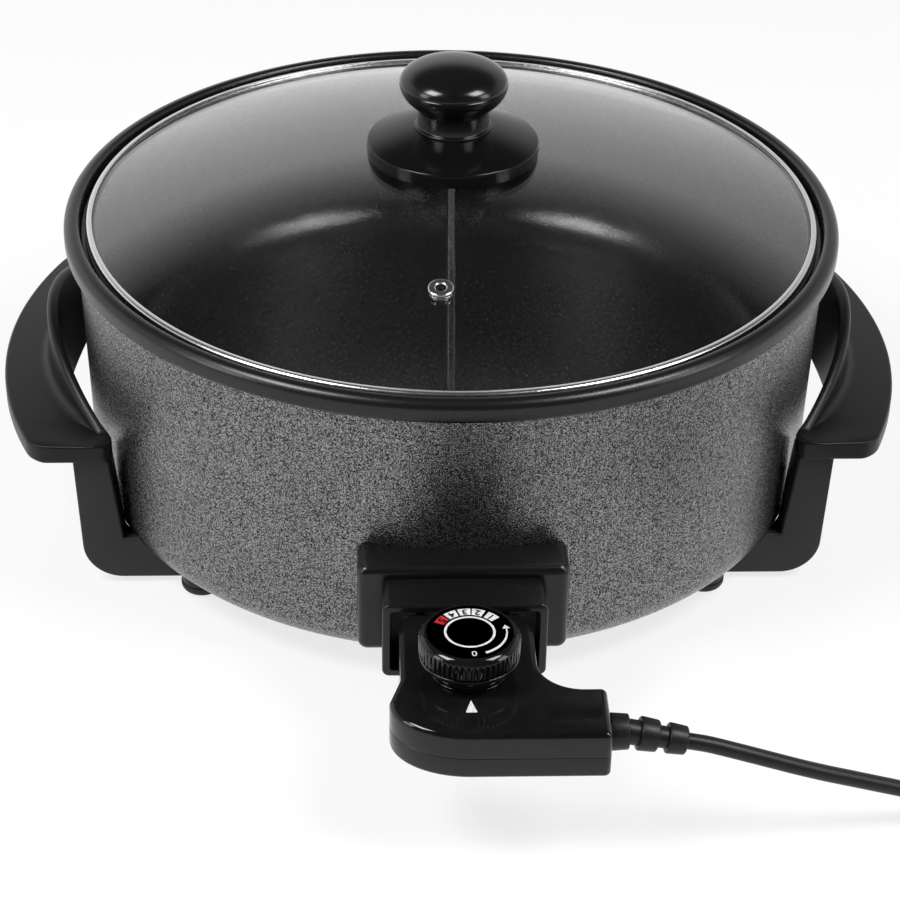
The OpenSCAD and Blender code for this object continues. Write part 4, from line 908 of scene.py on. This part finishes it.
def rayShares(tree, shares):  # how pale a surface looks along each kind of ray
    path = tree.nodes.new("ShaderNodeLightPath")
    return [combine(tree, "MULTIPLY", [path.outputs[ray], share]) for ray, share in shares.items()]


pick = newNode(floorFinish, "MixShader")
floorTree = floorFinish.node_tree
wire(floorFinish, combine(floorTree, "MAXIMUM", rayShares(floorTree, stage["glow"])), pick.inputs[0])
wire(floorFinish, floorShader.outputs["BSDF"], pick.inputs[1])
wire(floorFinish, glow.outputs["Emission"], pick.inputs[2])
wire(floorFinish, pick.outputs["Shader"], floorTree.nodes["Material Output"].inputs["Surface"])
floorShape = bmesh.new()
bmesh.ops.create_grid(floorShape, x_segments=1, y_segments=1, size=stage["floor"] / 2)
bmesh.ops.translate(floorShape, verts=floorShape.verts[:], vec=(0, 0, -stage["under"]))
floor = asObject(floorShape, "paleFloor")
floor.data.materials.append(floorFinish)

lamps = {
    "leftHigh": {"at": (-0.95, -0.45, 1.50), "to": (0, 0.06, 0.12), "size": (0.6, 0.6), "power": 23.0},
    "rightHigh": {"at": (0.95, -0.45, 1.50), "to": (0, 0.06, 0.12), "size": (0.6, 0.6), "power": 20.0},
    "leftLow": {"at": (-1.50, -0.60, 0.75), "to": (0, 0.06, 0.09), "size": (0.5, 0.8), "power": 7.0},
    "rightLow": {"at": (1.50, -0.60, 0.75), "to": (0, 0.06, 0.09), "size": (0.5, 0.8), "power": 6.6},
}
for name, lamp in lamps.items():
    light = bpy.data.lights.new(name, "AREA")
    light.shape = "RECTANGLE"
    light.size, light.size_y = lamp["size"]
    light.energy = lamp["power"]
    holder = bpy.data.objects.new(name, light)
    holder.location = lamp["at"]
    holder.rotation_euler = (Vector(lamp["to"]) - Vector(lamp["at"])).to_track_quat("-Z", "Y").to_euler()
    scene.collection.objects.link(holder)

sky = bpy.data.worlds.new("paleRoom")
sky.use_nodes = True
scene.world = sky
skyTree = sky.node_tree
skyNodes, skyLinks = skyTree.nodes, skyTree.links
aim = skyNodes.new("ShaderNodeTexCoord")
axes = skyNodes.new("ShaderNodeSeparateXYZ")
skyLinks.new(aim.outputs["Generated"], axes.inputs["Vector"])
# palest low down at the back left
room = {"Z": (0.43, 0.63, 1.0, 0.05), "Y": (-0.3, 0.3, 0.10, 1.0), "X": (-0.2, 0.6, 1.0, 0.65)}
shades = []
for axis, reach in room.items():
    shade = skyNodes.new("ShaderNodeMapRange")
    for name, value in zip(("From Min", "From Max", "To Min", "To Max"), reach):
        shade.inputs[name].default_value = value
    skyLinks.new(axes.outputs[axis], shade.inputs["Value"])
    shades.append(shade.outputs["Result"])
level = combine(skyTree, "MAXIMUM", [combine(skyTree, "MULTIPLY", shades)] + rayShares(skyTree, stage["backdrop"]))
skyNodes["Background"].inputs["Color"].default_value = (1.0, 1.0, 1.0, 1.0)
skyLinks.new(level, skyNodes["Background"].inputs["Strength"])
print("floor, lamps and room set")
